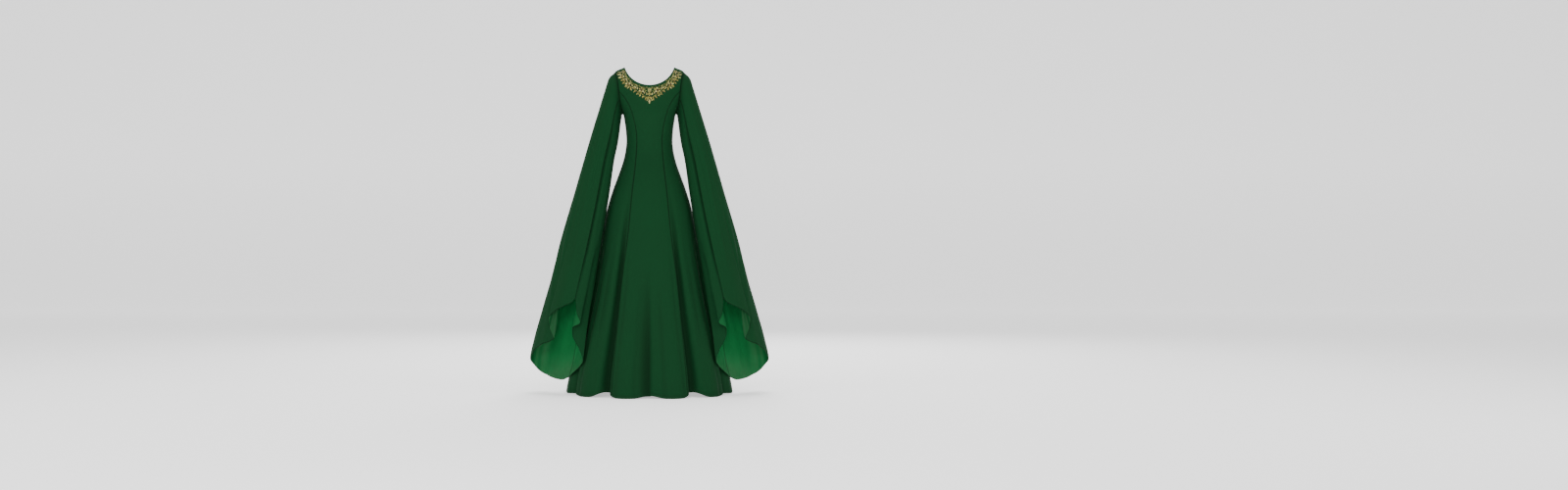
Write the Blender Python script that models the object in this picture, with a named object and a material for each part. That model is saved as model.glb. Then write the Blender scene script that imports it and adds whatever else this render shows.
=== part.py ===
"""Long princess-line gown with trumpet sleeves and a train, filled out with no wearer.

Metres, +Z up. The front faces -Y and the wearer's left is +X. The origin lies midway between
the two shoulder seams, level with the points where they meet the neckline.
"""
import math

import bpy
from mathutils import Vector

# Wall thicknesses and the clearance that neighbouring pieces keep at a seam
CLOTH = 0.0016
LINING = 0.001
SEAM_GAP = 0.0003
ARMHOLE_GAP = 0.0009

# Levels down the gown
SHOULDER_Z = -0.0223
SHOULDER_X = 0.157
JUNCTION_Z = -0.115
UNDERARM_Z = -0.215
WAIST_Z = -0.340
HEM_Z = -1.489
TURN_Z = -1.400

# Neckline: both arcs run between the neck points, NECK_X out on each side
NECK_X = 0.114
FRONT_NECK_DEPTH = 0.088
BACK_NECK_DEPTH = 0.077
SHOULDER_SLOPE = 0.52

# Armhole: an ellipse as the side sees it
ARMHOLE_FRONT = 0.058
ARMHOLE_BACK = 0.055

# Roundness of every level section of the body: 2 is an ellipse, more is squarer
ROUNDNESS = 2.2

# Body sections: level, half width at the side, depth forward and depth back from the side seam
BODY = (
    ("z", "side", "front", "back"),
    (0.000, 0.1140, 0.012, 0.012),
    (-0.0223, 0.1570, 0.044, 0.040),
    (-0.050, 0.1500, 0.062, 0.058),
    (-0.083, 0.1440, 0.080, 0.072),
    (-0.115, 0.1405, 0.095, 0.082),
    (-0.150, 0.1355, 0.111, 0.089),
    (-0.185, 0.1285, 0.123, 0.092),
    (-0.215, 0.1200, 0.127, 0.092),
    (-0.250, 0.1140, 0.121, 0.089),
    (-0.290, 0.1085, 0.107, 0.083),
    (-0.340, 0.1055, 0.092, 0.078),
    (-0.390, 0.1110, 0.091, 0.088),
    (-0.440, 0.1230, 0.100, 0.106),
    (-0.500, 0.1440, 0.117, 0.126),
    (-0.560, 0.1660, 0.136, 0.142),
    (-0.630, 0.1880, 0.155, 0.158),
    (-0.720, 0.2080, 0.177, 0.183),
    (-0.830, 0.2300, 0.205, 0.216),
    (-0.950, 0.2560, 0.238, 0.256),
    (-1.070, 0.2830, 0.272, 0.299),
    (-1.190, 0.3120, 0.306, 0.343),
    (-1.300, 0.3400, 0.338, 0.382),
    (-1.400, 0.3640, 0.366, 0.412),
    (-1.489, 0.3790, 0.392, 0.432),
)

# Princess seams: distance out from the centre, from the armhole to the floor
FRONT_PRINCESS = (
    ("z", "x"),
    (-0.115, 0.1405),
    (-0.140, 0.1180),
    (-0.170, 0.0990),
    (-0.205, 0.0840),
    (-0.250, 0.0710),
    (-0.290, 0.0625),
    (-0.340, 0.0580),
    (-0.440, 0.0640),
    (-0.580, 0.0800),
    (-0.770, 0.0980),
    (-0.914, 0.1165),
    (-1.080, 0.1370),
    (-1.246, 0.1530),
    (-1.489, 0.1710),
)
BACK_PRINCESS = (
    ("z", "x"),
    (-0.115, 0.1405),
    (-0.140, 0.1200),
    (-0.175, 0.1010),
    (-0.215, 0.0880),
    (-0.260, 0.0785),
    (-0.331, 0.0729),
    (-0.491, 0.0776),
    (-0.665, 0.0848),
    (-0.926, 0.1138),
    (-1.143, 0.1355),
    (-1.389, 0.1717),
    (-1.489, 0.1850),
)

WAIST_PRINCESS = {"front": 0.0580, "back": 0.0729}

# Skirt flutes: plan angle from the centre front, depth at the hem (minus is a trough),
# half width in degrees, and the level where the flute starts
FLUTES = (
    ("angle", "depth", "spread", "start"),
    (0.0, -0.012, 5.0, -0.880),
    (15.5, 0.010, 8.0, -0.600),
    (30.5, -0.034, 4.6, -0.480),
    (47.0, 0.012, 9.0, -0.650),
    (66.0, -0.016, 8.0, -0.700),
    (101.0, 0.010, 9.0, -0.700),
    (116.0, -0.020, 7.0, -0.620),
    (134.0, -0.024, 6.0, -0.560),
    (147.0, 0.012, 7.0, -0.650),
    (158.0, -0.012, 4.0, -0.700),
    (170.0, 0.010, 6.0, -0.700),
)

# Train hem on the floor: share of the way round from the centre back to the side seam
TRAIN_HEM = (
    ("share", "x", "y"),
    (0.000, 0.000, 0.950),
    (0.120, 0.096, 0.938),
    (0.190, 0.153, 0.912),
    (0.255, 0.208, 0.865),
    (0.298, 0.243, 0.818),
    (0.360, 0.274, 0.742),
    (0.410, 0.297, 0.680),
    (0.450, 0.320, 0.606),
    (0.490, 0.334, 0.530),
    (0.540, 0.305, 0.392),
    (0.620, 0.334, 0.304),
    (0.760, 0.3560, 0.178),
    (1.000, 0.379, 0.000),
)

# Sleeve sections: outer edge, inner edge and half depth between front and back
SLEEVE = (
    ("down", "outer_x", "outer_y", "outer_z", "inner_x", "inner_y", "inner_z", "depth"),
    (0.00, 0.1570, 0.000, -0.0223, 0.1200, 0.000, -0.2150, 0.0580),
    (0.02, 0.1705, 0.000, -0.0300, 0.1228, -0.001, -0.2180, 0.0605),
    (0.04, 0.1830, -0.001, -0.0415, 0.1252, -0.002, -0.2220, 0.0630),
    (0.06, 0.1905, -0.003, -0.0610, 0.1275, -0.004, -0.2290, 0.0650),
    (0.09, 0.1980, -0.005, -0.0860, 0.1300, -0.006, -0.2420, 0.0660),
    (0.13, 0.2130, -0.008, -0.1350, 0.1330, -0.010, -0.2650, 0.0670),
    (0.18, 0.2320, -0.012, -0.1980, 0.1370, -0.015, -0.2990, 0.0680),
    (0.24, 0.2580, -0.017, -0.2830, 0.1445, -0.022, -0.3500, 0.0690),
    (0.32, 0.2925, -0.024, -0.4000, 0.1610, -0.034, -0.4300, 0.0700),
    (0.42, 0.3365, -0.033, -0.5560, 0.1790, -0.052, -0.5600, 0.0730),
    (0.53, 0.3820, -0.042, -0.7200, 0.2030, -0.080, -0.7200, 0.0790),
    (0.63, 0.4210, -0.048, -0.8600, 0.2252, -0.110, -0.8600, 0.0860),
    (0.73, 0.4600, -0.050, -1.0000, 0.2485, -0.140, -1.0000, 0.0930),
    (0.82, 0.4970, -0.048, -1.1300, 0.2710, -0.168, -1.1300, 0.1000),
    (0.90, 0.5290, -0.045, -1.2450, 0.2865, -0.194, -1.2450, 0.1060),
    (0.96, 0.5480, -0.040, -1.3300, 0.2960, -0.212, -1.3300, 0.1100),
    (1.02, 0.5560, -0.040, -1.4150, 0.3200, -0.194, -1.4150, 0.1120),
)

# Sleeve seams: angle round the sleeve from its front, positive towards the outer edge
FRONT_SEAM = -22.0
BACK_SEAM = 225.0

# Sleeve hem: share round from the front seam by way of the outer edge to the back seam
UPPER_HEM = (
    ("share", "angle", "x", "y", "z"),
    (0.000, -22.0, 0.331, -0.216, -1.053),
    (0.050, -13.0, 0.347, -0.222, -1.072),
    (0.130, 0.0, 0.386, -0.216, -1.091),
    (0.200, 15.0, 0.420, -0.198, -1.108),
    (0.260, 25.0, 0.445, -0.178, -1.130),
    (0.300, 31.0, 0.452, -0.168, -1.152),
    (0.350, 37.0, 0.449, -0.164, -1.182),
    (0.400, 42.0, 0.441, -0.166, -1.212),
    (0.440, 46.5, 0.437, -0.168, -1.232),
    (0.490, 52.5, 0.452, -0.156, -1.251),
    (0.540, 60.0, 0.484, -0.132, -1.264),
    (0.590, 69.5, 0.512, -0.100, -1.282),
    (0.640, 80.0, 0.535, -0.068, -1.305),
    (0.690, 92.0, 0.546, -0.036, -1.326),
    (0.760, 118.0, 0.532, 0.020, -1.366),
    (0.830, 146.0, 0.497, 0.034, -1.402),
    (0.900, 178.0, 0.442, 0.000, -1.428),
    (0.950, 202.0, 0.401, -0.050, -1.428),
    (1.000, 225.0, 0.362, -0.100, -1.414),
)
# and on from the back seam by way of the inner edge to the front seam
UNDER_HEM = (
    ("share", "angle", "x", "y", "z"),
    (0.000, 225.0, 0.362, -0.100, -1.414),
    (0.150, 242.0, 0.321, -0.158, -1.384),
    (0.280, 256.0, 0.302, -0.200, -1.356),
    (0.400, 268.0, 0.297, -0.230, -1.332),
    (0.480, 277.0, 0.311, -0.222, -1.286),
    (0.580, 288.0, 0.338, -0.204, -1.222),
    (0.680, 299.0, 0.335, -0.208, -1.186),
    (0.780, 312.0, 0.311, -0.232, -1.163),
    (0.880, 326.0, 0.325, -0.226, -1.117),
    (1.000, 338.0, 0.331, -0.216, -1.053),
)

# How close a sleeve hangs to the skirt
SLEEVE_CLEAR = 0.007

# Grid counts
NECK_CELLS = 8
SHOULDER_CELLS = 2
SIDE_SHARES = (0.0, 0.035, 0.07, 0.11, 0.165, 0.24, 0.34, 0.46, 0.60, 0.79, 1.0)
UPPER_ROWS = 5
BODY_LEVELS = (-0.115, -0.140, -0.170, -0.205, -0.245, -0.290, -0.340)
SKIRT_LEVELS = (
    -0.390, -0.440, -0.495, -0.555, -0.630, -0.730, -0.840, -0.960, -1.080, -1.200, -1.310, -1.400)
TRAIN_ROWS = 8
HEM_ROWS = 1
SLEEVE_ROWS = (
    0.0, 0.022, 0.045, 0.07, 0.11, 0.16, 0.23, 0.32, 0.43, 0.54, 0.64, 0.73, 0.81, 0.88, 0.94, 1.0)
UPPER_COLUMNS = 18
UNDER_COLUMNS = 9
LINING_FROM = 10

GREEN = (0.012, 0.060, 0.022, 1.0)
LIGHT_GREEN = (0.016, 0.110, 0.032, 1.0)


def clear_scene():
    """Removes everything the file holds."""
    for item in list(bpy.data.objects):
        bpy.data.objects.remove(item, do_unlink=True)


def material(name, colour, roughness):
    """A plain Principled material."""
    made = bpy.data.materials.new(name)
    made.use_nodes = True
    shader = made.node_tree.nodes["Principled BSDF"]
    shader.inputs["Base Color"].default_value = colour
    shader.inputs["Roughness"].default_value = roughness
    made.diffuse_color = colour
    return made


def lerp(a, b, share):
    """The value that lies share of the way from a to b."""
    return a + (b - a) * share


def ease(share):
    """A smooth step from 0 to 1."""
    share = min(1.0, max(0.0, share))
    return share * share * (3.0 - 2.0 * share)


def slopes(xs, ys):
    """Slopes at each table row that never overshoot between rows."""
    steps = [(ys[i + 1] - ys[i]) / (xs[i + 1] - xs[i]) for i in range(len(xs) - 1)]
    found = [steps[0]]
    for i in range(1, len(xs) - 1):
        before = steps[i - 1]
        after = steps[i]
        if before * after <= 0.0:
            found.append(0.0)
        else:
            found.append(2.0 * before * after / (before + after))
    found.append(steps[-1])
    return found


def make_reader(table):
    """Turns a table with named columns into a smooth reader(value) -> dict of the columns."""
    names = table[0]
    rows = sorted(table[1:])
    keys = [row[0] for row in rows]
    columns = {}
    for place, name in enumerate(names):
        values = [row[place] for row in rows]
        columns[name] = (values, slopes(keys, values))

    def read(value):
        value = min(keys[-1], max(keys[0], value))
        i = 0
        while i < len(keys) - 2 and value > keys[i + 1]:
            i += 1
        step = keys[i + 1] - keys[i]
        t = (value - keys[i]) / step
        result = {}
        for name, (values, slope) in columns.items():
            low = values[i] * (1 + 2 * t) * (1 - t) ** 2 + slope[i] * step * t * (1 - t) ** 2
            high = values[i + 1] * t * t * (3 - 2 * t) + slope[i + 1] * step * t * t * (t - 1)
            result[name] = low + high
        return result

    return read


read_body = make_reader(BODY)
read_princess = {"front": make_reader(FRONT_PRINCESS), "back": make_reader(BACK_PRINCESS)}
read_train = make_reader(TRAIN_HEM)
read_sleeve = make_reader(SLEEVE)
read_upper_hem = make_reader(UPPER_HEM)
read_under_hem = make_reader(UNDER_HEM)


def armhole_depth(z, face):
    """How far in front of or behind the shoulder the armhole edge runs at a level."""
    middle = (SHOULDER_Z + UNDERARM_Z) / 2.0
    half = (SHOULDER_Z - UNDERARM_Z) / 2.0
    out = (z - middle) / half
    widest = ARMHOLE_FRONT if face == "front" else ARMHOLE_BACK
    return widest * math.sqrt(max(0.0, 1.0 - out * out))


def section(z, face):
    """Half width, depth and largest angle of the level section that ends at the side edge."""
    row = read_body(z)
    depth = row[face]
    edge = armhole_depth(z, face)
    power = max(1e-6, 1.0 - (edge / depth) ** ROUNDNESS)
    wide = row["side"] / power ** (1.0 / ROUNDNESS)
    last = math.asin(min(1.0, (row["side"] / wide) ** (ROUNDNESS / 2.0)))
    return wide, depth, last


def share_at(x, z, face):
    """Share of the way from the centre to the side edge at which the section is x wide."""
    wide, _, last = section(z, face)
    return min(1.0, math.asin(min(1.0, (abs(x) / wide) ** (ROUNDNESS / 2.0))) / last)


def flute(angle, z):
    """How far a skirt flute pushes the cloth out at a plan angle and level."""
    total = 0.0
    for centre, depth, spread, start in FLUTES[1:]:
        grown = max(0.0, (start - z) / (start - HEM_Z))
        total += depth * grown ** 1.2 * math.exp(-((angle - centre) / spread) ** 2)
    return total


def falling_point(share, z, face):
    """A point of the body surface on the +X half, where the cloth hangs."""
    wide, depth, last = section(z, face)
    angle = share * last
    x = wide * math.sin(angle) ** (2.0 / ROUNDNESS)
    y = depth * max(0.0, math.cos(angle)) ** (2.0 / ROUNDNESS)
    if z < -0.45:
        plan = share * 90.0 if face == "front" else 180.0 - share * 90.0
        push = flute(plan, z)
        size = math.hypot(x, y)
        x += push * x / size
        y += push * y / size
    return Vector((x, -y if face == "front" else y, z))


def hem_lift(share):
    """How far the front hem rises above the floor: at the centre and in the deep grooves."""
    angle = share * 90.0
    centre = 0.012 * math.exp(-(angle / 6.0) ** 2)
    groove = 0.024 * math.exp(-((angle - 31.0) / 6.5) ** 2)
    side = 0.006 * math.exp(-((angle - 66.0) / 9.0) ** 2)
    return centre + groove + side


def bezier(a, b, c, d, t):
    """A point on a cubic curve."""
    s = 1.0 - t
    return a * s ** 3 + b * 3 * s * s * t + c * 3 * s * t * t + d * t ** 3


def train_point(share, run):
    """A point of the back skirt from TURN_Z (run 0) round the turn to the hem (run 1)."""
    top = falling_point(share, TURN_Z, "back")
    corner = falling_point(share, HEM_Z, "back")
    corner.z = HEM_Z + CLOTH + 0.0006
    row = read_train(share)
    hem = Vector((row["x"], row["y"], corner.z))
    count = 24
    if (hem - corner).length < 0.02:
        hem = corner
    tight = min(1.0, (hem - corner).length / 0.16)
    leave = lerp(top, corner, lerp(0.5, 0.85, tight))
    arrive = lerp(hem, corner, lerp(0.3, 0.8, tight))
    path = [bezier(top, leave, arrive, hem, i / count)
            for i in range(count + 1)]
    lengths = [0.0]
    for before, after in zip(path, path[1:]):
        lengths.append(lengths[-1] + (after - before).length)
    goal = run * lengths[-1]
    i = 0
    while i < count - 1 and lengths[i + 1] < goal:
        i += 1
    part = (goal - lengths[i]) / max(1e-9, lengths[i + 1] - lengths[i])
    found = path[i].lerp(path[i + 1], part)
    reach = ease((lengths[-1] - 0.10) / 0.30) * ease((run - 0.25) / 0.4)
    wave = 0.5 - 0.5 * math.cos(share * math.pi * 2.0 / 0.298)
    found.z += 0.011 * reach * wave * (0.6 + 0.4 * run)
    return found


def body_point(share, level, face):
    """Body surface on the +X half; below TURN_Z the back level runs on to TURN_Z - 1."""
    if face == "back" and level < TURN_Z:
        return train_point(share, min(1.0, TURN_Z - level))
    if face == "front" and level < TURN_Z:
        run = (TURN_Z - level) / (TURN_Z - HEM_Z)
        level += hem_lift(share) * min(1.0, run) ** 2
    return falling_point(share, level, face)


def body_normal(share, level, face):
    """Outward direction of the body surface on the +X half."""
    step = 0.004
    low = max(0.0005, share - step)
    high = min(0.9995, share + step)
    across = body_point(high, level, face) - body_point(low, level, face)
    if share < step:
        across = Vector((1.0, 0.0, 0.0))
    beside_armhole = share > 0.8 and UNDERARM_Z - 0.004 < level
    up = level if beside_armhole else min(-0.0005, level + 0.003)
    down = body_point(share, level - 0.003, face) - body_point(share, up, face)
    normal = across.cross(down)
    if face == "front":
        normal.negate()
    if share < step:
        normal.x = 0.0
    return normal.normalized()


def neckline(share, face):
    """A point (x, z) on the top edge from the centre (share 0) to the shoulder tip (share 1)."""
    depth = FRONT_NECK_DEPTH if face == "front" else BACK_NECK_DEPTH
    radius = (NECK_X ** 2 + depth ** 2) / (2.0 * depth)
    widest = math.asin(NECK_X / radius)
    split = NECK_CELLS / (NECK_CELLS + SHOULDER_CELLS)
    if share <= split:
        angle = widest * share / split
        return radius * math.sin(angle), radius - depth - radius * math.cos(angle)
    part = (share - split) / (1.0 - split)
    return lerp(NECK_X, SHOULDER_X, part), lerp(0.0, SHOULDER_Z, part)


def upper_levels():
    """Rows of the centre panels beside the armhole, from the shoulder tip to the waist."""
    middle = (SHOULDER_Z + UNDERARM_Z) / 2.0
    half = (SHOULDER_Z - UNDERARM_Z) / 2.0
    end = math.asin((JUNCTION_Z - middle) / half)
    turns = [lerp(math.pi / 2.0, end, i / UPPER_ROWS) for i in range(UPPER_ROWS)]
    return [middle + half * math.sin(turn) for turn in turns] + list(BODY_LEVELS)


def princess_share(z, face):
    """Where the princess seam crosses a level, as a share of the section."""
    level = max(z, HEM_Z)
    if level > JUNCTION_Z - 1e-6:
        return 1.0
    return share_at(read_princess[face](level)["x"], level, face)


def lower_levels(face):
    """Rows below the waist."""
    rows = list(SKIRT_LEVELS)
    if face == "front":
        rows += [lerp(TURN_Z, HEM_Z, (i + 1) / (HEM_ROWS + 1)) for i in range(HEM_ROWS + 1)]
    else:
        rows += [TURN_Z - (i + 1) / TRAIN_ROWS for i in range(TRAIN_ROWS)]
    return rows


def centre_grid(face):
    """(share, level) of each point of half a centre panel, centre column first."""
    columns = NECK_CELLS + SHOULDER_CELLS
    edge_levels = upper_levels()
    last = len(edge_levels) - 1
    top_z = edge_levels[0]
    grid = []
    for k, edge in enumerate(edge_levels):
        w = k / last
        settled = 1.0 - (1.0 - w) ** 2
        edge_x = body_point(princess_share(edge, face), edge, face).x
        edge_line = lerp(top_z, WAIST_Z, w)
        row = []
        for i in range(columns + 1):
            u = i / columns
            x, z = neckline(u, face)
            waist_x = body_point(u * princess_share(WAIST_Z, face), WAIST_Z, face).x
            level = lerp(z, WAIST_Z, w) + u * (edge - edge_line)
            wide = edge_x * lerp(x / SHOULDER_X, waist_x / WAIST_PRINCESS[face], settled)
            share = share_at(wide, level, face)
            if i == columns:
                share = princess_share(edge, face)
            elif k == 0 and i >= NECK_CELLS:
                share = 1.0
            row.append((share, level))
        grid.append(row)
    for level in lower_levels(face):
        limit = princess_share(level, face)
        grid.append([(limit * i / columns, level) for i in range(columns + 1)])
    return grid


def side_grid(face):
    """(share, level) of each point of a side panel, princess column first."""
    top_level = BODY_LEVELS[0]
    waist_share = princess_share(WAIST_Z, face)
    grid = []
    for level in BODY_LEVELS:
        w = (top_level - level) / (top_level - WAIST_Z)
        edge_share = princess_share(level, face)
        row = []
        for u in SIDE_SHARES:
            armhole = armhole_level(u)
            z = lerp(armhole, WAIST_Z, w)
            share = lerp(1.0, lerp(waist_share, 1.0, u), w)
            share += (1.0 - u) * (edge_share - lerp(1.0, waist_share, w))
            row.append((share, z))
        grid.append(row)
    for level in lower_levels(face):
        limit = princess_share(level, face)
        grid.append([(lerp(limit, 1.0, u), level) for u in SIDE_SHARES])
    return grid


def armhole_level(share):
    """Level of the armhole edge from the princess seam (0) to the underarm (1)."""
    middle = (SHOULDER_Z + UNDERARM_Z) / 2.0
    half = (SHOULDER_Z - UNDERARM_Z) / 2.0
    start = math.asin((JUNCTION_Z - middle) / half)
    return middle + half * math.sin(lerp(start, -math.pi / 2.0, share ** 0.8))


def surface(grid, face, side):
    """Outer points and normals of a grid on the +X side (side 1) or the -X side (side -1)."""
    points = []
    normals = []
    for row in grid:
        point_row = []
        normal_row = []
        for share, level in row:
            point = body_point(share, level, face)
            normal = body_normal(share, level, face)
            point_row.append(Vector((side * point.x, point.y, point.z)))
            normal_row.append(Vector((side * normal.x, normal.y, normal.z)))
        points.append(point_row)
        normals.append(normal_row)
    return points, normals


def inset(points, columns=(0, -1), gap=SEAM_GAP / 2.0):
    """Draws the named end columns back from their seams along the cloth."""
    for row in points:
        if 0 in columns:
            row[0] = row[0] + (row[1] - row[0]).normalized() * gap
        if -1 in columns:
            row[-1] = row[-1] + (row[-2] - row[-1]).normalized() * gap


def wall(name, points, normals, thick, paint, rise=0.0):
    """A closed cloth wall: the grid is its outer face, and the inner face lies thick within."""
    rows = len(points)
    columns = len(points[0])
    outer = [points[r][c] + normals[r][c] * rise for r in range(rows) for c in range(columns)]
    inner = [points[r][c] + normals[r][c] * (rise - thick) for r in range(rows) for c in range(columns)]
    total = rows * columns
    faces = []

    def at(r, c, layer=0):
        return layer * total + r * columns + c

    for r in range(rows - 1):
        for c in range(columns - 1):
            quad = (at(r, c), at(r + 1, c), at(r + 1, c + 1), at(r, c + 1))
            for a, b, d in ((0, 1, 2), (0, 2, 3)):
                faces.append((quad[a], quad[b], quad[d]))
                faces.append((quad[a] + total, quad[d] + total, quad[b] + total))
    rim = [(0, c) for c in range(columns)]
    rim += [(r, columns - 1) for r in range(1, rows)]
    rim += [(rows - 1, c) for c in range(columns - 2, -1, -1)]
    rim += [(r, 0) for r in range(rows - 2, 0, -1)]
    for (r0, c0), (r1, c1) in zip(rim, rim[1:] + rim[:1]):
        a, b = at(r0, c0), at(r1, c1)
        faces.append((a, b, b + total))
        faces.append((a, b + total, a + total))
    return solid(name, outer + inner, faces, paint)


def solid(name, points, faces, paint):
    """An object from closed faces, turned the right way out if they face in."""
    volume = 0.0
    for a, b, c in faces:
        volume += points[a].dot(points[b].cross(points[c]))
    if volume < 0.0:
        faces = [(a, c, b) for a, b, c in faces]
    mesh = bpy.data.meshes.new(name)
    mesh.from_pydata([tuple(p) for p in points], [], faces)
    mesh.materials.append(paint)
    mesh.update()
    mesh.shade_smooth()
    mesh.set_sharp_from_angle(angle=math.radians(50.0))
    made = bpy.data.objects.new(name, mesh)
    bpy.context.collection.objects.link(made)
    return made


def mirrored(rows):
    """A whole row set from a half one whose first column lies on the centre line."""
    whole = []
    for row in rows:
        other = [Vector((-p.x, p.y, p.z)) for p in reversed(row[1:])]
        whole.append(other + list(row))
    return whole


def build_front_centre(paint):
    """The front panel between the princess seams, with the neckline and half of each shoulder."""
    points, normals = surface(centre_grid("front"), "front", 1)
    points = mirrored(points)
    normals = mirrored(normals)
    inset(points)
    shoulder_gap(points, normals)
    wall("front_centre", points, normals, CLOTH, paint)
    return points, normals


def shoulder_gap(points, normals):
    """Stands the top row on end along the shoulder seam, just clear of the other face's row."""
    for c, point in enumerate(points[0]):
        if abs(point.x) > NECK_X - 0.002:
            face = -1.0 if points[1][c].y < 0 else 1.0
            slope = SHOULDER_SLOPE if point.x > 0 else -SHOULDER_SLOPE
            point.y = face * SEAM_GAP * 0.7
            normals[0][c] = Vector((slope, 0.0, 1.0)).normalized()


def build_side_panels(paint):
    """Four panels from the princess seams to the side seams, front and back."""
    for face in ("front", "back"):
        for side, name in ((1, "left"), (-1, "right")):
            points, normals = surface(side_grid(face), face, side)
            inset(points)
            wall(face + "_side_" + name, points, normals, CLOTH, paint)


def build_back_centre(paint):
    """Two panels that meet at the centre back and carry most of the train."""
    kept = {}
    for side, name in ((1, "left"), (-1, "right")):
        points, normals = surface(centre_grid("back"), "back", side)
        inset(points)
        shoulder_gap(points, normals)
        wall("back_centre_" + name, points, normals, CLOTH, paint)
        kept[name] = (points, normals)
    return kept


def sleeve_loop(angle, down):
    """A point of the plain sleeve tube: angle in degrees from its front, down from the armhole."""
    row = read_sleeve(down)
    outer = Vector((row["outer_x"], row["outer_y"], row["outer_z"]))
    inner = Vector((row["inner_x"], row["inner_y"], row["inner_z"]))
    turn = math.radians(angle)
    point = (outer + inner) / 2.0 + (outer - inner) / 2.0 * math.sin(turn)
    depth = row["depth"]
    if math.cos(turn) < 0.0:
        depth *= lerp(ARMHOLE_BACK / ARMHOLE_FRONT, 1.0, ease(down / 0.1))
    point.y -= depth * math.cos(turn)
    join = 1.0 - ease(down / 0.06)
    if join > 0.0:
        goal = read_body(min(0.0, point.z))["side"]
        point.x = lerp(point.x, goal + 0.982 * (down * 0.35), join * 0.98)
    return point


def clear_of_skirt(point):
    """Moves a sleeve point out of the skirt so that the sleeve hangs just beside it."""
    if point.z > -0.36 or point.z < HEM_Z:
        return point
    face = "front" if point.y < 0 else "back"
    wide, depth, _ = section(point.z, face)
    across = abs(point.x) / wide
    along = abs(point.y) / depth
    ratio = (across ** ROUNDNESS + along ** ROUNDNESS) ** (1.0 / ROUNDNESS)
    share = math.atan2(across ** (ROUNDNESS / 2.0), along ** (ROUNDNESS / 2.0)) / (math.pi / 2.0)
    plan = share * 90.0 if face == "front" else 180.0 - share * 90.0
    size = math.hypot(point.x, point.y)
    needed = size / ratio + max(-0.004, flute(plan, point.z)) + SLEEVE_CLEAR
    if size >= needed:
        return point
    return Vector((point.x * needed / size, point.y * needed / size, point.z))


def sleeve_point(around, down):
    """A point of the +X sleeve.

    around runs 0 to 1 over the upper panel, from the front seam by the outer edge to the back
    seam, and 1 to 2 over the under panel and back to the front seam; down runs from the armhole
    (0) to the hem (1).
    """
    if around <= 1.0:
        top_angle = lerp(FRONT_SEAM, BACK_SEAM, around)
        hem = read_upper_hem(around)
    else:
        top_angle = lerp(BACK_SEAM, FRONT_SEAM + 360.0, around - 1.0)
        hem = read_under_hem(around - 1.0)
    goal = Vector((hem["x"], hem["y"], hem["z"]))
    end = hem_down(hem["angle"], goal.z)
    angle = lerp(top_angle, hem["angle"], ease(down) ** 1.5)
    reach = down * lerp(1.0, end, ease(down / 0.5) ** 0.5) if down > 0.0 else 0.0
    point = sleeve_loop(angle, reach)
    pull = goal - sleeve_loop(hem["angle"], end)
    point = point + pull * ease((down - 0.6) / 0.4) ** 1.5
    crease = math.exp(-((angle - FRONT_SEAM) / 9.0) ** 2)
    crease += math.exp(-((angle - FRONT_SEAM - 360.0) / 9.0) ** 2)
    point.y += 0.006 * crease * ease((down - 0.08) / 0.3) * (1.0 - ease((down - 0.8) / 0.2))
    return clear_of_skirt(point)


def hem_down(angle, level):
    """How far down the plain tube a level lies at an angle."""
    low = 0.3
    high = 1.02
    for _ in range(24):
        middle = (low + high) / 2.0
        if sleeve_loop(angle, middle).z > level:
            low = middle
        else:
            high = middle
    return low


def one_sided_normal(around, down, step):
    """Outward direction of the sleeve, taken on the side of the point that step names."""
    other = around + step
    along = (sleeve_point(other, down) - sleeve_point(around, down)) * (1.0 if step > 0 else -1.0)
    high = max(0.0, down - 0.004)
    low = min(1.0, down + 0.004)
    fall = sleeve_point(around, low) - sleeve_point(around, high)
    return along.cross(fall).normalized()


def sleeve_normal(around, down):
    """Outward direction of the sleeve, shared by both panels at a seam."""
    step = 0.006
    if around < step or around > 2.0 - step:
        found = one_sided_normal(0.0, down, step) + one_sided_normal(2.0, down, -step)
    else:
        found = one_sided_normal(around, down, step) + one_sided_normal(around, down, -step)
    return -found.normalized()


def sleeve_rows(start, end, columns, rows, side):
    """Outer points and normals of a stretch of the sleeve."""
    points = []
    normals = []
    for down in rows:
        point_row = []
        normal_row = []
        for c in range(columns + 1):
            around = lerp(start, end, c / columns)
            point = sleeve_point(around, down)
            if down == 0.0:
                point += Vector((0.982, 0.0, -0.188)) * ARMHOLE_GAP
            normal = sleeve_normal(around, down)
            point_row.append(Vector((side * point.x, point.y, point.z)))
            normal_row.append(Vector((side * normal.x, normal.y, normal.z)))
        points.append(point_row)
        normals.append(normal_row)
    return points, normals


def build_sleeves(cloth, lining):
    """Each sleeve: an upper panel, an under panel and the lining that shows at the slit hem."""
    for side, name in ((1, "left"), (-1, "right")):
        upper, upper_normals = sleeve_rows(0.0, 1.0, UPPER_COLUMNS, SLEEVE_ROWS, side)
        under, under_normals = sleeve_rows(1.0, 2.0, UNDER_COLUMNS, SLEEVE_ROWS, side)
        inset(upper)
        inset(under)
        wall("sleeve_upper_" + name, upper, upper_normals, CLOTH, cloth)
        wall("sleeve_under_" + name, under, under_normals, CLOTH, cloth)
        build_lining(name, upper, upper_normals, under, under_normals, lining)


def build_lining(name, upper, upper_normals, under, under_normals, paint):
    """The lining of the lower sleeve, open along the front seam like the slit."""
    points = []
    normals = []
    for r in range(LINING_FROM, len(SLEEVE_ROWS)):
        points.append(list(upper[r]) + list(under[r][1:]))
        normals.append(list(upper_normals[r]) + list(under_normals[r][1:]))
    inset(points, gap=0.0016)
    for c in range(len(points[-1])):
        above = points[-2][c] - points[-1][c]
        points[-1][c] = points[-1][c] + above.normalized() * 0.0012
    wall("sleeve_lining_" + name, points, normals, LINING, paint, rise=-(CLOTH + SEAM_GAP))


def main():
    """Builds the gown."""
    clear_scene()
    cloth = material("green_cloth", GREEN, 0.85)
    lining = material("sleeve_lining", LIGHT_GREEN, 0.7)
    build_front_centre(cloth)
    build_side_panels(cloth)
    build_back_centre(cloth)
    build_sleeves(cloth, lining)


main()
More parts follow.
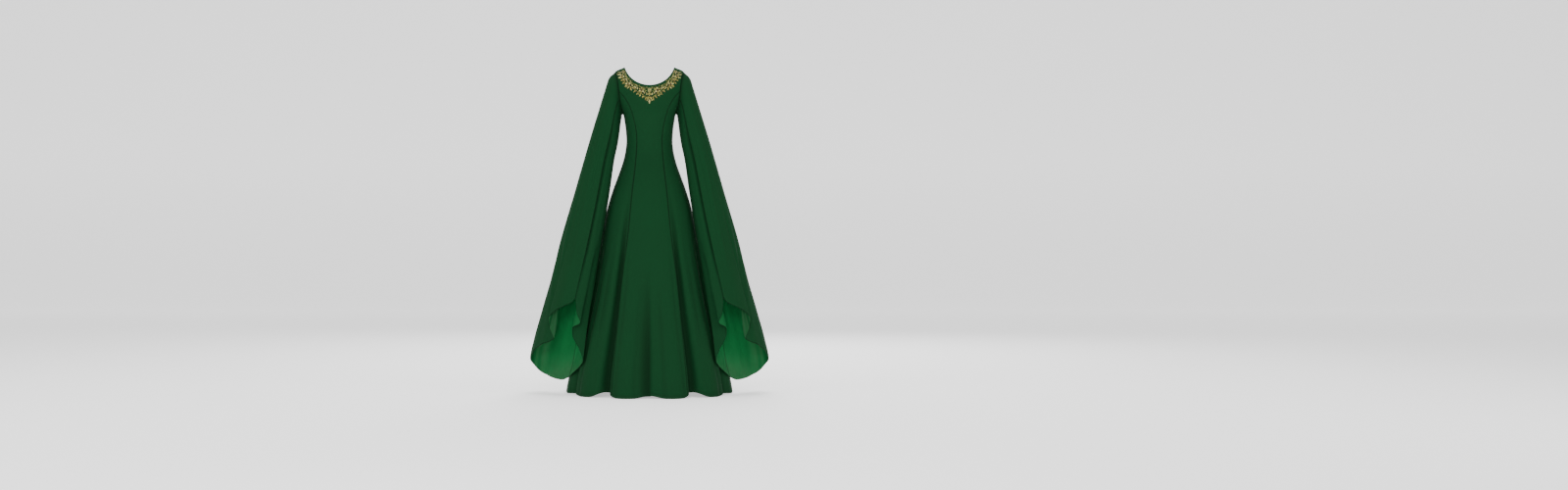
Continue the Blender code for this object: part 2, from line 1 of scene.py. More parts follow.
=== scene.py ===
"""Looks of a long princess-line gown: its cloth shells and folds, neck embroidery and stitching.

Metres, +Z up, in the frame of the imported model. The gown faces -Y, and the wearer's left is +X.
"""
import logging
import math
from dataclasses import dataclass, field
from enum import Enum
from typing import List, Optional, Sequence, Tuple, Union

import bpy
import numpy as np
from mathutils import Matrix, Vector


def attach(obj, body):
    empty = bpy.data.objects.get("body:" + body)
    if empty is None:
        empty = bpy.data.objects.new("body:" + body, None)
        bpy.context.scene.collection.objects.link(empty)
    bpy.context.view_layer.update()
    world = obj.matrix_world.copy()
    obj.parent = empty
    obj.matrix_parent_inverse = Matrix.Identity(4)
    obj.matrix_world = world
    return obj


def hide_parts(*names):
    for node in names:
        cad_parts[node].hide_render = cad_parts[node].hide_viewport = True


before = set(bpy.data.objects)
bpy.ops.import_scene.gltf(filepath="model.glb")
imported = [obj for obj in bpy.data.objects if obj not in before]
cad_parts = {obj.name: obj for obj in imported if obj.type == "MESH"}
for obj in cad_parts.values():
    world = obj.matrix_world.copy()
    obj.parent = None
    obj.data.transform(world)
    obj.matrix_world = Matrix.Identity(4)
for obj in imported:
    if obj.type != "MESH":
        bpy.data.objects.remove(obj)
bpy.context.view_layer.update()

log = logging.getLogger("gown")

Array = np.ndarray
Colour = Tuple[float, float, float]
Place = Tuple[float, float]
Number = Union[float, Array]
Socket = bpy.types.NodeSocket
Value = Union[float, Socket]

BODY = "root"

# Levels and seams of the gown, as in the solids
SHOULDER_Z = -0.0223
SHOULDER_X = 0.157
JUNCTION_Z = -0.115
UNDERARM_Z = -0.215
WAIST_Z = -0.340
HEM_Z = -1.489
TURN_Z = -1.400
NECK_X = 0.114
SHOULDER_SLOPE = 0.52
ROUNDNESS = 2.2
CLOTH = 0.0016
SEAM_GAP = 0.0003
FRONT_SEAM = -22.0
BACK_SEAM = 225.0
SLEEVE_CLEAR = 0.007
FLUTE_TOP = -0.45
ARMHOLE_MIDDLE = (SHOULDER_Z + UNDERARM_Z) / 2.0
ARMHOLE_HALF = (SHOULDER_Z - UNDERARM_Z) / 2.0
ARMHOLE_OUT = (0.982, 0.0, -0.188)
MILLIMETRES = 1000.0

# How fine the cloth is
CELL = 0.0075
SHELL = 0.0012


class Face(Enum):
    """The front or the back of the gown's body."""

    FRONT = "front"
    BACK = "back"


class Side(Enum):
    """The wearer's left or right, with the sign of its X."""

    LEFT = 1
    RIGHT = -1

    @property
    def word(self) -> str:
        """The side as it stands in a piece's name."""
        return self.name.lower()


NECK_DEPTH = {Face.FRONT: 0.088, Face.BACK: 0.077}
ARMHOLE = {Face.FRONT: 0.058, Face.BACK: 0.055}
WAIST_PRINCESS = {Face.FRONT: 0.0580, Face.BACK: 0.0729}


def lerp(a: Number, b: Number, share: Number) -> Number:
    """The value that lies share of the way from a to b."""
    return a + (b - a) * share


def ease(share: Number) -> Number:
    """A smooth step from 0 to 1."""
    share = np.clip(share, 0.0, 1.0)
    return share * share * (3.0 - 2.0 * share)


def bell(away: Number, reach: Number) -> Number:
    """1 on a spot, falling smoothly to nearly 0 at twice the reach from it."""
    return np.exp(-(away / reach) ** 2)


def unit(vectors: Array) -> Array:
    """The same directions, each of length 1."""
    return vectors / np.maximum(1e-12, np.linalg.norm(vectors, axis=-1, keepdims=True))


def neck_radius(depth: float, wide: float = NECK_X) -> float:
    """Radius of the circle through the neckline's ends and its lowest point."""
    return (wide ** 2 + depth ** 2) / (2.0 * depth)


class Table:
    """Named columns of sizes that read smoothly between their rows."""

    def __init__(self, names: Sequence[str], *rows: Sequence[float]) -> None:
        """Keeps the rows in the order of the first column.

        Args:
            names: The columns' names; the first is the one that is looked up.
            rows: One tuple of sizes for each row.
        """
        data = np.array(sorted(rows), dtype=float)
        self.keys = data[:, 0]
        self.columns = {name: data[:, i] for i, name in enumerate(names)}
        self.slopes = {name: self._slopes(values) for name, values in self.columns.items()}

    def _slopes(self, values: Array) -> Array:
        """Slopes at each row that never overshoot between rows.

        Args:
            values: One column.

        Returns:
            The slope at each of its rows.
        """
        steps = np.diff(values) / np.diff(self.keys)
        before, after = steps[:-1], steps[1:]
        both = np.where(before * after > 0.0, before + after, 1.0)
        inner = np.where(before * after > 0.0, 2.0 * before * after / both, 0.0)
        return np.concatenate((steps[:1], inner, steps[-1:]))

    def read(self, name: str, value: Number) -> Array:
        """Looks one column up.

        Args:
            name: The column.
            value: Where to read it, as a number or an array.

        Returns:
            The column's smooth value there.
        """
        value = np.clip(np.asarray(value, dtype=float), self.keys[0], self.keys[-1])
        i = np.clip(np.searchsorted(self.keys, value) - 1, 0, len(self.keys) - 2)
        step = self.keys[i + 1] - self.keys[i]
        t = (value - self.keys[i]) / step
        values, slope = self.columns[name], self.slopes[name]
        low = values[i] * (1 + 2 * t) * (1 - t) ** 2 + slope[i] * step * t * (1 - t) ** 2
        high = values[i + 1] * t * t * (3 - 2 * t) + slope[i + 1] * step * t * t * (t - 1)
        return low + high


BODY_SECTIONS = Table(
    ("z", "side", "front", "back"),
    (0.000, 0.1140, 0.012, 0.012),
    (-0.0223, 0.1570, 0.044, 0.040),
    (-0.050, 0.1500, 0.062, 0.058),
    (-0.083, 0.1440, 0.080, 0.072),
    (-0.115, 0.1405, 0.095, 0.082),
    (-0.150, 0.1355, 0.111, 0.089),
    (-0.185, 0.1285, 0.123, 0.092),
    (-0.215, 0.1200, 0.127, 0.092),
    (-0.250, 0.1140, 0.121, 0.089),
    (-0.290, 0.1085, 0.107, 0.083),
    (-0.340, 0.1055, 0.092, 0.078),
    (-0.390, 0.1110, 0.091, 0.088),
    (-0.440, 0.1230, 0.100, 0.106),
    (-0.500, 0.1440, 0.117, 0.126),
    (-0.560, 0.1660, 0.136, 0.142),
    (-0.630, 0.1880, 0.155, 0.158),
    (-0.720, 0.2080, 0.177, 0.183),
    (-0.830, 0.2300, 0.205, 0.216),
    (-0.950, 0.2560, 0.238, 0.256),
    (-1.070, 0.2830, 0.272, 0.299),
    (-1.190, 0.3120, 0.306, 0.343),
    (-1.300, 0.3400, 0.338, 0.382),
    (-1.400, 0.3640, 0.366, 0.412),
    (-1.489, 0.3790, 0.392, 0.432),
)

PRINCESS = {
    Face.FRONT: Table(
        ("z", "x"),
        (-0.115, 0.1405),
        (-0.140, 0.1180),
        (-0.170, 0.0990),
        (-0.205, 0.0840),
        (-0.250, 0.0710),
        (-0.290, 0.0625),
        (-0.340, 0.0580),
        (-0.440, 0.0640),
        (-0.580, 0.0800),
        (-0.770, 0.0980),
        (-0.914, 0.1165),
        (-1.080, 0.1370),
        (-1.246, 0.1530),
        (-1.489, 0.1710),
    ),
    Face.BACK: Table(
        ("z", "x"),
        (-0.115, 0.1405),
        (-0.140, 0.1200),
        (-0.175, 0.1010),
        (-0.215, 0.0880),
        (-0.260, 0.0785),
        (-0.331, 0.0729),
        (-0.491, 0.0776),
        (-0.665, 0.0848),
        (-0.926, 0.1138),
        (-1.143, 0.1355),
        (-1.389, 0.1717),
        (-1.489, 0.1850),
    ),
}

# Rows close to the front hem, as levels above it, and close to the train's, as its length
FRONT_HEM_ROWS = (0.0145, 0.012, 0.0095, 0.006, 0.0025, 0.0)
TRAIN_HEM_ROWS = (0.981, 0.985, 0.989, 0.995, 1.0)

# Columns close to a seam, in shares of the panel's width
SEAM_COLUMNS = (0.004, 0.009)

# Where the front hem rises above the floor: plan angle, rise and half width in degrees
HEM_LIFTS = ((0.0, 0.012, 6.0), (31.0, 0.024, 6.5), (66.0, 0.006, 9.0))

# Skirt flutes: plan angle from the centre front, depth at the hem (minus is a trough),
# half width in degrees, and the level where the flute starts
FLUTES = (
    (0.0, -0.012, 5.0, -0.880),
    (15.5, 0.010, 8.0, -0.600),
    (30.5, -0.034, 4.6, -0.480),
    (47.0, 0.012, 9.0, -0.650),
    (66.0, -0.016, 8.0, -0.700),
    (101.0, 0.010, 9.0, -0.700),
    (116.0, -0.020, 7.0, -0.620),
    (134.0, -0.024, 6.0, -0.560),
    (147.0, 0.012, 7.0, -0.650),
    (158.0, -0.012, 4.0, -0.700),
    (170.0, 0.010, 6.0, -0.700),
)

TRAIN_HEM = Table(
    ("share", "x", "y"),
    (0.000, 0.000, 0.950),
    (0.120, 0.096, 0.938),
    (0.190, 0.153, 0.912),
    (0.255, 0.208, 0.865),
    (0.298, 0.243, 0.818),
    (0.360, 0.274, 0.742),
    (0.410, 0.297, 0.680),
    (0.450, 0.320, 0.606),
    (0.490, 0.334, 0.530),
    (0.540, 0.305, 0.392),
    (0.620, 0.334, 0.304),
    (0.760, 0.3560, 0.178),
    (1.000, 0.379, 0.000),
)

SLEEVE_SECTIONS = Table(
    ("down", "outer_x", "outer_y", "outer_z", "inner_x", "inner_y", "inner_z", "depth"),
    (0.00, 0.1570, 0.000, -0.0223, 0.1200, 0.000, -0.2150, 0.0580),
    (0.02, 0.1705, 0.000, -0.0300, 0.1228, -0.001, -0.2180, 0.0605),
    (0.04, 0.1830, -0.001, -0.0415, 0.1252, -0.002, -0.2220, 0.0630),
    (0.06, 0.1905, -0.003, -0.0610, 0.1275, -0.004, -0.2290, 0.0650),
    (0.09, 0.1980, -0.005, -0.0860, 0.1300, -0.006, -0.2420, 0.0660),
    (0.13, 0.2130, -0.008, -0.1350, 0.1330, -0.010, -0.2650, 0.0670),
    (0.18, 0.2320, -0.012, -0.1980, 0.1370, -0.015, -0.2990, 0.0680),
    (0.24, 0.2580, -0.017, -0.2830, 0.1445, -0.022, -0.3500, 0.0690),
    (0.32, 0.2925, -0.024, -0.4000, 0.1610, -0.034, -0.4300, 0.0700),
    (0.42, 0.3365, -0.033, -0.5560, 0.1790, -0.052, -0.5600, 0.0730),
    (0.53, 0.3820, -0.042, -0.7200, 0.2030, -0.080, -0.7200, 0.0790),
    (0.63, 0.4210, -0.048, -0.8600, 0.2252, -0.110, -0.8600, 0.0860),
    (0.73, 0.4600, -0.050, -1.0000, 0.2485, -0.140, -1.0000, 0.0930),
    (0.82, 0.4970, -0.048, -1.1300, 0.2710, -0.168, -1.1300, 0.1000),
    (0.90, 0.5290, -0.045, -1.2450, 0.2865, -0.194, -1.2450, 0.1060),
    (0.96, 0.5480, -0.040, -1.3300, 0.2960, -0.212, -1.3300, 0.1100),
    (1.02, 0.5560, -0.040, -1.4150, 0.3200, -0.194, -1.4150, 0.1120),
)

UPPER_HEM = Table(
    ("share", "angle", "x", "y", "z"),
    (0.000, -22.0, 0.331, -0.216, -1.053),
    (0.050, -13.0, 0.347, -0.222, -1.072),
    (0.130, 0.0, 0.386, -0.216, -1.091),
    (0.200, 15.0, 0.420, -0.198, -1.108),
    (0.260, 25.0, 0.445, -0.178, -1.130),
    (0.300, 31.0, 0.456, -0.168, -1.148),
    (0.350, 37.0, 0.452, -0.164, -1.180),
    (0.400, 42.0, 0.439, -0.166, -1.214),
    (0.440, 46.5, 0.431, -0.168, -1.235),
    (0.490, 52.5, 0.452, -0.156, -1.251),
    (0.540, 60.0, 0.484, -0.132, -1.264),
    (0.590, 69.5, 0.512, -0.100, -1.282),
    (0.640, 80.0, 0.535, -0.068, -1.305),
    (0.690, 92.0, 0.546, -0.036, -1.326),
    (0.760, 118.0, 0.532, 0.020, -1.366),
    (0.830, 146.0, 0.497, 0.034, -1.402),
    (0.900, 178.0, 0.442, 0.000, -1.4255),
    (0.950, 202.0, 0.401, -0.050, -1.4310),
    (1.000, 225.0, 0.362, -0.100, -1.414),
)
UNDER_HEM = Table(
    ("share", "angle", "x", "y", "z"),
    (0.000, 225.0, 0.362, -0.100, -1.414),
    (0.150, 242.0, 0.321, -0.158, -1.384),
    (0.280, 256.0, 0.302, -0.200, -1.356),
    (0.400, 268.0, 0.297, -0.230, -1.332),
    (0.480, 277.0, 0.311, -0.222, -1.286),
    (0.580, 288.0, 0.344, -0.202, -1.222),
    (0.680, 299.0, 0.343, -0.204, -1.188),
    (0.780, 312.0, 0.308, -0.233, -1.163),
    (0.880, 326.0, 0.325, -0.226, -1.117),
    (1.000, 338.0, 0.331, -0.216, -1.053),
)

# Small folds of the body: face, plan angle at the top and at the end, level at the top and at
# the end (below TURN_Z it runs on along the train), depth (minus is a trough), half width in
# degrees, and whether the fold dies out before its end
BODY_CREASES = (
    (Face.FRONT, 30.5, 30.6, -0.56, -1.50, -0.0150, 2.3, False),
    (Face.FRONT, 33.6, 35.0, -0.70, -1.50, 0.0040, 1.6, False),
    (Face.FRONT, 66.0, 66.0, -0.74, -1.50, -0.0080, 2.6, False),
    (Face.FRONT, 7.5, 8.5, -0.95, -1.50, -0.0030, 1.8, False),
    (Face.FRONT, 20.5, 22.0, -0.78, -1.50, -0.0026, 1.6, False),
    (Face.FRONT, 25.5, 26.0, -0.62, -1.20, 0.0022, 1.4, True),
    (Face.FRONT, 38.0, 36.5, -0.66, -1.50, 0.0040, 2.0, False),
    (Face.FRONT, 44.0, 42.5, -0.80, -1.30, -0.0030, 1.8, True),
    (Face.FRONT, 53.0, 54.5, -0.74, -1.50, -0.0046, 2.2, False),
    (Face.FRONT, 59.0, 61.0, -0.98, -1.50, 0.0034, 2.0, False),
    (Face.FRONT, 74.0, 77.0, -0.85, -1.50, 0.0042, 2.6, False),
    (Face.FRONT, 84.0, 86.0, -0.72, -1.42, -0.0040, 2.4, True),
    (Face.FRONT, 64.0, 40.0, -0.285, -0.350, -0.0012, 3.2, True),
    (Face.FRONT, 72.0, 50.0, -0.375, -0.335, -0.0010, 3.0, True),
    (Face.FRONT, 78.0, 56.0, -0.250, -0.205, -0.0012, 3.0, True),
    (Face.BACK, 98.0, 95.0, -0.74, -1.46, -0.0036, 2.4, True),
    (Face.BACK, 108.0, 110.0, -0.70, -1.50, 0.0044, 2.4, False),
    (Face.BACK, 124.0, 126.0, -0.66, -1.60, 0.0044, 2.2, False),
    (Face.BACK, 140.0, 142.5, -0.88, -2.00, -0.0036, 1.8, True),
    (Face.BACK, 152.5, 153.5, -0.74, -2.10, 0.0030, 1.6, True),
    (Face.BACK, 164.0, 165.0, -0.95, -2.20, -0.0034, 1.8, True),
    (Face.BACK, 174.5, 175.5, -1.10, -2.38, -0.0030, 1.6, True),
    (Face.BACK, 116.0, 140.0, -0.300, -0.352, -0.0012, 3.0, True),
    (Face.BACK, 108.0, 130.0, -0.385, -0.350, -0.0012, 3.0, True),
)

# Small folds of a sleeve: place round it at the top and at the end, how far down it starts and
# ends, depth (minus is a trough), half width round it, and whether it dies out before its end
SLEEVE_CREASES = (
    (0.10, 0.12, 0.10, 0.70, -0.0024, 0.018, True),
    (0.17, 0.16, 0.22, 0.92, 0.0030, 0.022, True),
    (0.24, 0.27, 0.05, 0.52, -0.0026, 0.020, True),
    (0.30, 0.33, 0.34, 1.05, -0.0034, 0.020, False),
    (0.38, 0.37, 0.50, 1.05, 0.0038, 0.020, False),
    (0.46, 0.44, 0.30, 0.88, -0.0028, 0.020, True),
    (0.55, 0.53, 0.40, 1.05, 0.0034, 0.022, False),
    (0.63, 0.66, 0.46, 1.05, -0.0048, 0.020, False),
    (0.71, 0.73, 0.58, 1.05, 0.0052, 0.018, False),
    (0.78, 0.79, 0.30, 1.05, -0.0050, 0.018, False),
    (0.85, 0.86, 0.55, 1.05, 0.0056, 0.016, False),
    (0.92, 0.92, 0.40, 1.05, -0.0044, 0.016, False),
    (1.22, 1.20, 0.36, 0.96, 0.0026, 0.040, True),
    (1.48, 1.46, 0.28, 0.90, -0.0026, 0.045, True),
    (1.74, 1.70, 0.18, 0.86, 0.0022, 0.045, True),
)


@dataclass
class GownForm:
    """The body's smooth surface: a level section from the centre (share 0) to the side (1)."""

    seam_dip: float = 0.0018
    seam_reach: float = 0.0028
    # Painted shade lines: their reach, and the height of the one at the hem's stitching
    painted_line_reach: float = 0.0021
    painted_hem_line: float = 0.012
    neck_columns: int = 30
    shoulder_columns: int = 8
    neck_share: float = 0.8
    side_columns: int = 52
    turn_steps: int = 24
    turn_reach: float = 0.16
    wave_high: float = 0.011
    wave_long: float = 0.298

    def armhole_depth(self, z: Array, face: Face) -> Array:
        """How far in front of or behind the shoulder the armhole edge runs.

        Args:
            z: Levels.
            face: Front or back.

        Returns:
            The depth at each level.
        """
        out = (z - ARMHOLE_MIDDLE) / ARMHOLE_HALF
        return ARMHOLE[face] * np.sqrt(np.maximum(0.0, 1.0 - out * out))

    def section(self, z: Array, face: Face) -> Tuple[Array, Array, Array]:
        """The level section that ends at the side edge.

        Args:
            z: Levels.
            face: Front or back.

        Returns:
            Its half width, its depth and its largest angle.
        """
        side = BODY_SECTIONS.read("side", z)
        depth = BODY_SECTIONS.read(face.value, z)
        edge = self.armhole_depth(z, face)
        power = np.maximum(1e-6, 1.0 - np.minimum(1.0, edge / depth) ** ROUNDNESS)
        wide = side / power ** (1.0 / ROUNDNESS)
        last = np.arcsin(np.minimum(1.0, (side / wide) ** (ROUNDNESS / 2.0)))
        return wide, depth, last

    def share_at(self, x: Array, z: Array, face: Face) -> Array:
        """Share of the way from the centre to the side edge at which the section is x wide.

        Args:
            x: Distances from the centre line.
            z: Levels.
            face: Front or back.

        Returns:
            The shares.
        """
        wide, _, last = self.section(z, face)
        angle = np.arcsin(np.minimum(1.0, (np.abs(x) / wide) ** (ROUNDNESS / 2.0)))
        return np.minimum(1.0, angle / last)

    @staticmethod
    def flute(angle: Array, z: Array) -> Array:
        """How far the skirt's flutes push the cloth out.

        Args:
            angle: Plan angles from the centre front, in degrees.
            z: Levels.

        Returns:
            The push at each point.
        """
        total = np.zeros(np.broadcast(angle, z).shape)
        for centre, depth, spread, start in FLUTES:
            grown = np.maximum(0.0, (start - z) / (start - HEM_Z))
            total = total + depth * grown ** 1.2 * bell(angle - centre, spread)
        return total

    @staticmethod
    def plan_angle(share: Array, face: Face) -> Array:
        """The plan angle from the centre front that a share stands for."""
        return share * 90.0 if face is Face.FRONT else 180.0 - share * 90.0

    def falling(self, share: Array, z: Array, face: Face) -> Array:
        """Points of the surface on the +X half, where the cloth hangs.

        Args:
            share: Shares from the centre to the side.
            z: Levels.
            face: Front or back.

        Returns:
            The points, with x, y and z in the last axis.
        """
        share, z = np.broadcast_arrays(share, z)
        wide, depth, last = self.section(z, face)
        angle = share * last
        x = wide * np.sin(angle) ** (2.0 / ROUNDNESS)
        y = depth * np.maximum(0.0, np.cos(angle)) ** (2.0 / ROUNDNESS)
        push = np.where(z < FLUTE_TOP, self.flute(self.plan_angle(share, face), z), 0.0)
        size = np.maximum(1e-9, np.hypot(x, y))
        grown = 1.0 + push / size
        return np.stack((x * grown, (-y if face is Face.FRONT else y) * grown, z), axis=-1)

    @staticmethod
    def hem_lift(share: Array) -> Array:
        """How far the front hem rises above the floor: at the centre and in the grooves."""
        return sum(rise * bell(share * 90.0 - angle, spread) for angle, rise, spread in HEM_LIFTS)

    def train(self, share: Array, run: Array) -> Array:
        """Points of the back skirt from TURN_Z round the turn and along the floor.

        Args:
            share: Shares from the centre back to the side, one for each point.
            run: From 0 at TURN_Z to 1 at the hem, one for each point.

        Returns:
            The points.
        """
        top = self.falling(share, np.full_like(share, TURN_Z), Face.BACK)
        corner = self.falling(share, np.full_like(share, HEM_Z), Face.BACK)
        corner[..., 2] = HEM_Z + CLOTH + 0.0006
        hem = np.stack((TRAIN_HEM.read("x", share), TRAIN_HEM.read("y", share), corner[..., 2]), axis=-1)
        short = np.linalg.norm(hem - corner, axis=-1) < 0.02
        hem[short] = corner[short]
        tight = np.minimum(1.0, np.linalg.norm(hem - corner, axis=-1) / self.turn_reach)[..., None]
        leave = lerp(top, corner, lerp(0.5, 0.85, tight))
        arrive = lerp(hem, corner, lerp(0.3, 0.8, tight))
        # A cubic curve from the fall through the turn to the hem, read at even shares of its length
        t = np.linspace(0.0, 1.0, self.turn_steps + 1)[:, None, None]
        s = 1.0 - t
        path = top * s ** 3 + leave * 3 * s * s * t + arrive * 3 * s * t * t + hem * t ** 3
        lengths = np.zeros(path.shape[:2])
        lengths[1:] = np.cumsum(np.linalg.norm(np.diff(path, axis=0), axis=-1), axis=0)
        goal = run * lengths[-1]
        i = np.clip((lengths < goal).sum(axis=0) - 1, 0, self.turn_steps - 1)
        pick = np.arange(len(share))
        part = (goal - lengths[i, pick]) / np.maximum(1e-9, lengths[i + 1, pick] - lengths[i, pick])
        found = lerp(path[i, pick], path[i + 1, pick], part[:, None])
        # Waves that lift the train's cloth off the floor, where it is long enough for them
        reach = ease((lengths[-1] - 0.10) / 0.30) * ease((run - 0.25) / 0.4)
        wave = 0.5 - 0.5 * np.cos(share * math.pi * 2.0 / self.wave_long)
        found[:, 2] += self.wave_high * reach * wave * (0.6 + 0.4 * run)
        return found

    def point(self, share: Array, level: Array, face: Face) -> Array:
        """Points of the body; below TURN_Z the back's level runs on to TURN_Z - 1.

        Args:
            share: Shares from the centre to the side.
            level: Levels.
            face: Front or back.

        Returns:
            The points on the +X half.
        """
        share, level = (np.array(a) for a in np.broadcast_arrays(share, level))
        if face is Face.FRONT:
            run = np.clip((TURN_Z - level) / (TURN_Z - HEM_Z), 0.0, 1.0)
            return self.falling(share, level + self.hem_lift(share) * run ** 2, face)
        found = self.falling(share, np.maximum(level, TURN_Z), face)
        low = level < TURN_Z
        if low.any():
            found[low] = self.train(share[low], np.minimum(1.0, TURN_Z - level[low]))
        return found

    def neckline(self, u: Array, face: Face) -> Tuple[Array, Array]:
        """The top edge from the centre (u 0) to the shoulder tip (u 1).

        Args:
            u: Shares along the edge.
            face: Front or back.

        Returns:
            x and z along it.
        """
        split = self.neck_share
        depth = NECK_DEPTH[face]
        radius = neck_radius(depth)
        angle = math.asin(NECK_X / radius) * np.minimum(1.0, u / split)
        part = np.maximum(0.0, (u - split) / (1.0 - split))
        x = np.where(u <= split, radius * np.sin(angle), lerp(NECK_X, SHOULDER_X, part))
        z = np.where(u <= split, radius - depth - radius * np.cos(angle), SHOULDER_Z * part)
        return x, z

    def princess_share(self, z: Array, face: Face) -> Array:
        """Where the princess seam crosses some levels.

        Args:
            z: Levels.
            face: Front or back.

        Returns:
            Shares of the sections.
        """
        level = np.maximum(np.asarray(z, dtype=float), HEM_Z)
        found = self.share_at(PRINCESS[face].read("x", level), level, face)
        return np.where(level > JUNCTION_Z - 1e-6, 1.0, found)

    @staticmethod
    def armhole_level(u: Array) -> Array:
        """Level of the armhole edge from the princess seam (0) to the underarm (1)."""
        start = math.asin((JUNCTION_Z - ARMHOLE_MIDDLE) / ARMHOLE_HALF)
        return ARMHOLE_MIDDLE + ARMHOLE_HALF * np.sin(lerp(start, -math.pi / 2.0, u ** 0.8))

    @staticmethod
    def skirt_rows(face: Face) -> Array:
        """Levels of the rows below the waist.

        Args:
            face: Front or back.

        Returns:
            The levels, from the top.
        """
        down = int(round((WAIST_Z - TURN_Z) / CELL))
        rows = np.linspace(WAIST_Z, TURN_Z, down + 1)[1:]
        if face is Face.FRONT:
            last = (np.linspace(TURN_Z, HEM_Z + 0.018, 11)[1:], HEM_Z + np.array(FRONT_HEM_ROWS))
        else:
            last = (TURN_Z - np.linspace(0.0, 0.976, 82)[1:], TURN_Z - np.array(TRAIN_HEM_ROWS))
        return np.concatenate((rows, *last))

    def painted_seam_shade(self, points: Array, first: bool) -> Array:
        """Painted shade of a panel: dark lines where shade falls along its seams, its top edge, its hem's
        stitching and its hem.

        Args:
            points: The panel's grid.
            first: Whether its first column is a seam.

        Returns:
            Numbers from 0 to 1.
        """
        across = lengths_along(points, 1)
        down = lengths_along(points, 0)
        near = np.maximum(bell(across[:, -1:] - across, self.painted_line_reach), bell(down, self.painted_line_reach))
        if first:
            near = np.maximum(near, bell(across, self.painted_line_reach))
        hem = down[-1:] - down
        # Painted shade along the hem's stitching line and at the hem's edge.
        near = np.maximum(near, 0.35 * bell(hem - self.painted_hem_line, self.painted_line_reach))
        return np.maximum(near, 0.5 * bell(hem, self.painted_line_reach))

    def centre_grid(self, face: Face) -> Tuple[Array, Array]:
        """Shares and levels of half a centre panel, centre column first.

        Args:
            face: Front or back.

        Returns:
            Two arrays, one row of each for each row of the panel.
        """
        neck = np.linspace(0.0, self.neck_share, self.neck_columns + 1)
        shoulder = np.linspace(self.neck_share, 1.0, self.shoulder_columns + 1)[1:]
        u = np.concatenate((neck, shoulder[:-1], [0.985, 0.993, 1.0]))
        end = math.asin((JUNCTION_Z - ARMHOLE_MIDDLE) / ARMHOLE_HALF)
        beside = ARMHOLE_MIDDLE + ARMHOLE_HALF * np.sin(np.linspace(math.pi / 2.0, end, 19))[:-1]
        below = np.linspace(JUNCTION_Z, WAIST_Z, 31)
        edge = np.concatenate((beside, below))
        w = np.interp(edge, (WAIST_Z, JUNCTION_Z, SHOULDER_Z), (1.0, 5.0 / 11.0, 0.0))
        settled = 1.0 - (1.0 - w) ** 2
        # Rows blend from the neckline's curve above to level lines at the waist
        edge_x = self.point(self.princess_share(edge, face), edge, face)[:, 0]
        x, z = self.neckline(u, face)
        waist_share = float(self.princess_share(np.array([WAIST_Z]), face)[0])
        waist_x = self.point(u * waist_share, np.full_like(u, WAIST_Z), face)[:, 0]
        edge_line = lerp(edge[0], WAIST_Z, w)
        level = lerp(z[None], WAIST_Z, w[:, None]) + u[None] * (edge - edge_line)[:, None]
        spread = lerp(x[None] / SHOULDER_X, waist_x[None] / WAIST_PRINCESS[face], settled[:, None])
        wide = edge_x[:, None] * spread
        share = self.share_at(wide, level, face)
        share[:, -1] = self.princess_share(edge, face)
        share[0, u >= self.neck_share] = 1.0
        rows = self.skirt_rows(face)
        share = np.vstack((share, self.princess_share(rows, face)[:, None] * u[None]))
        level = np.vstack((level, np.repeat(rows[:, None], len(u), axis=1)))
        return share, level

    def side_grid(self, face: Face) -> Tuple[Array, Array]:
        """Shares and levels of a side panel, princess column first.

        Args:
            face: Front or back.

        Returns:
            Two arrays, one row of each for each row of the panel.
        """
        even = np.linspace(0.0, 1.0, self.side_columns + 1)
        u = np.concatenate(([0.0, *SEAM_COLUMNS], even[1:-1] ** 1.12, [0.991, 0.996, 1.0]))
        levels = np.linspace(JUNCTION_Z, WAIST_Z, 33)
        w = ((JUNCTION_Z - levels) / (JUNCTION_Z - WAIST_Z))[:, None]
        waist_share = self.princess_share(np.array([WAIST_Z]), face)[0]
        edge_share = self.princess_share(levels, face)[:, None]
        level = lerp(self.armhole_level(u)[None], WAIST_Z, w)
        share = lerp(1.0, lerp(waist_share, 1.0, u)[None], w)
        share = share + (1.0 - u)[None] * (edge_share - lerp(1.0, waist_share, w))
        rows = self.skirt_rows(face)
        limit = self.princess_share(rows, face)[:, None]
        share = np.vstack((share, lerp(limit, 1.0, u[None])))
        level = np.vstack((level, np.repeat(rows[:, None], len(u), axis=1)))
        return share, level

    def creased(self, share: Array, level: Array, face: Face) -> Array:
        """How far the small folds push the cloth out.

        Args:
            share: Shares of the grid.
            level: Levels of the grid.
            face: Front or back.

        Returns:
            The push at each point.
        """
        angle = self.plan_angle(share, face)
        total = np.zeros_like(share)
        for on, start, end, top, bottom, depth, spread, fades in BODY_CREASES:
            if on is not face:
                continue
            along = (top - level) / (top - bottom)
            centre = lerp(start, end, along)
            fade = ease(along / 0.45)
            if fades:
                fade = fade * ease((1.0 - along) / 0.35)
            total += depth * fade * bell(angle - centre, spread)
        return total


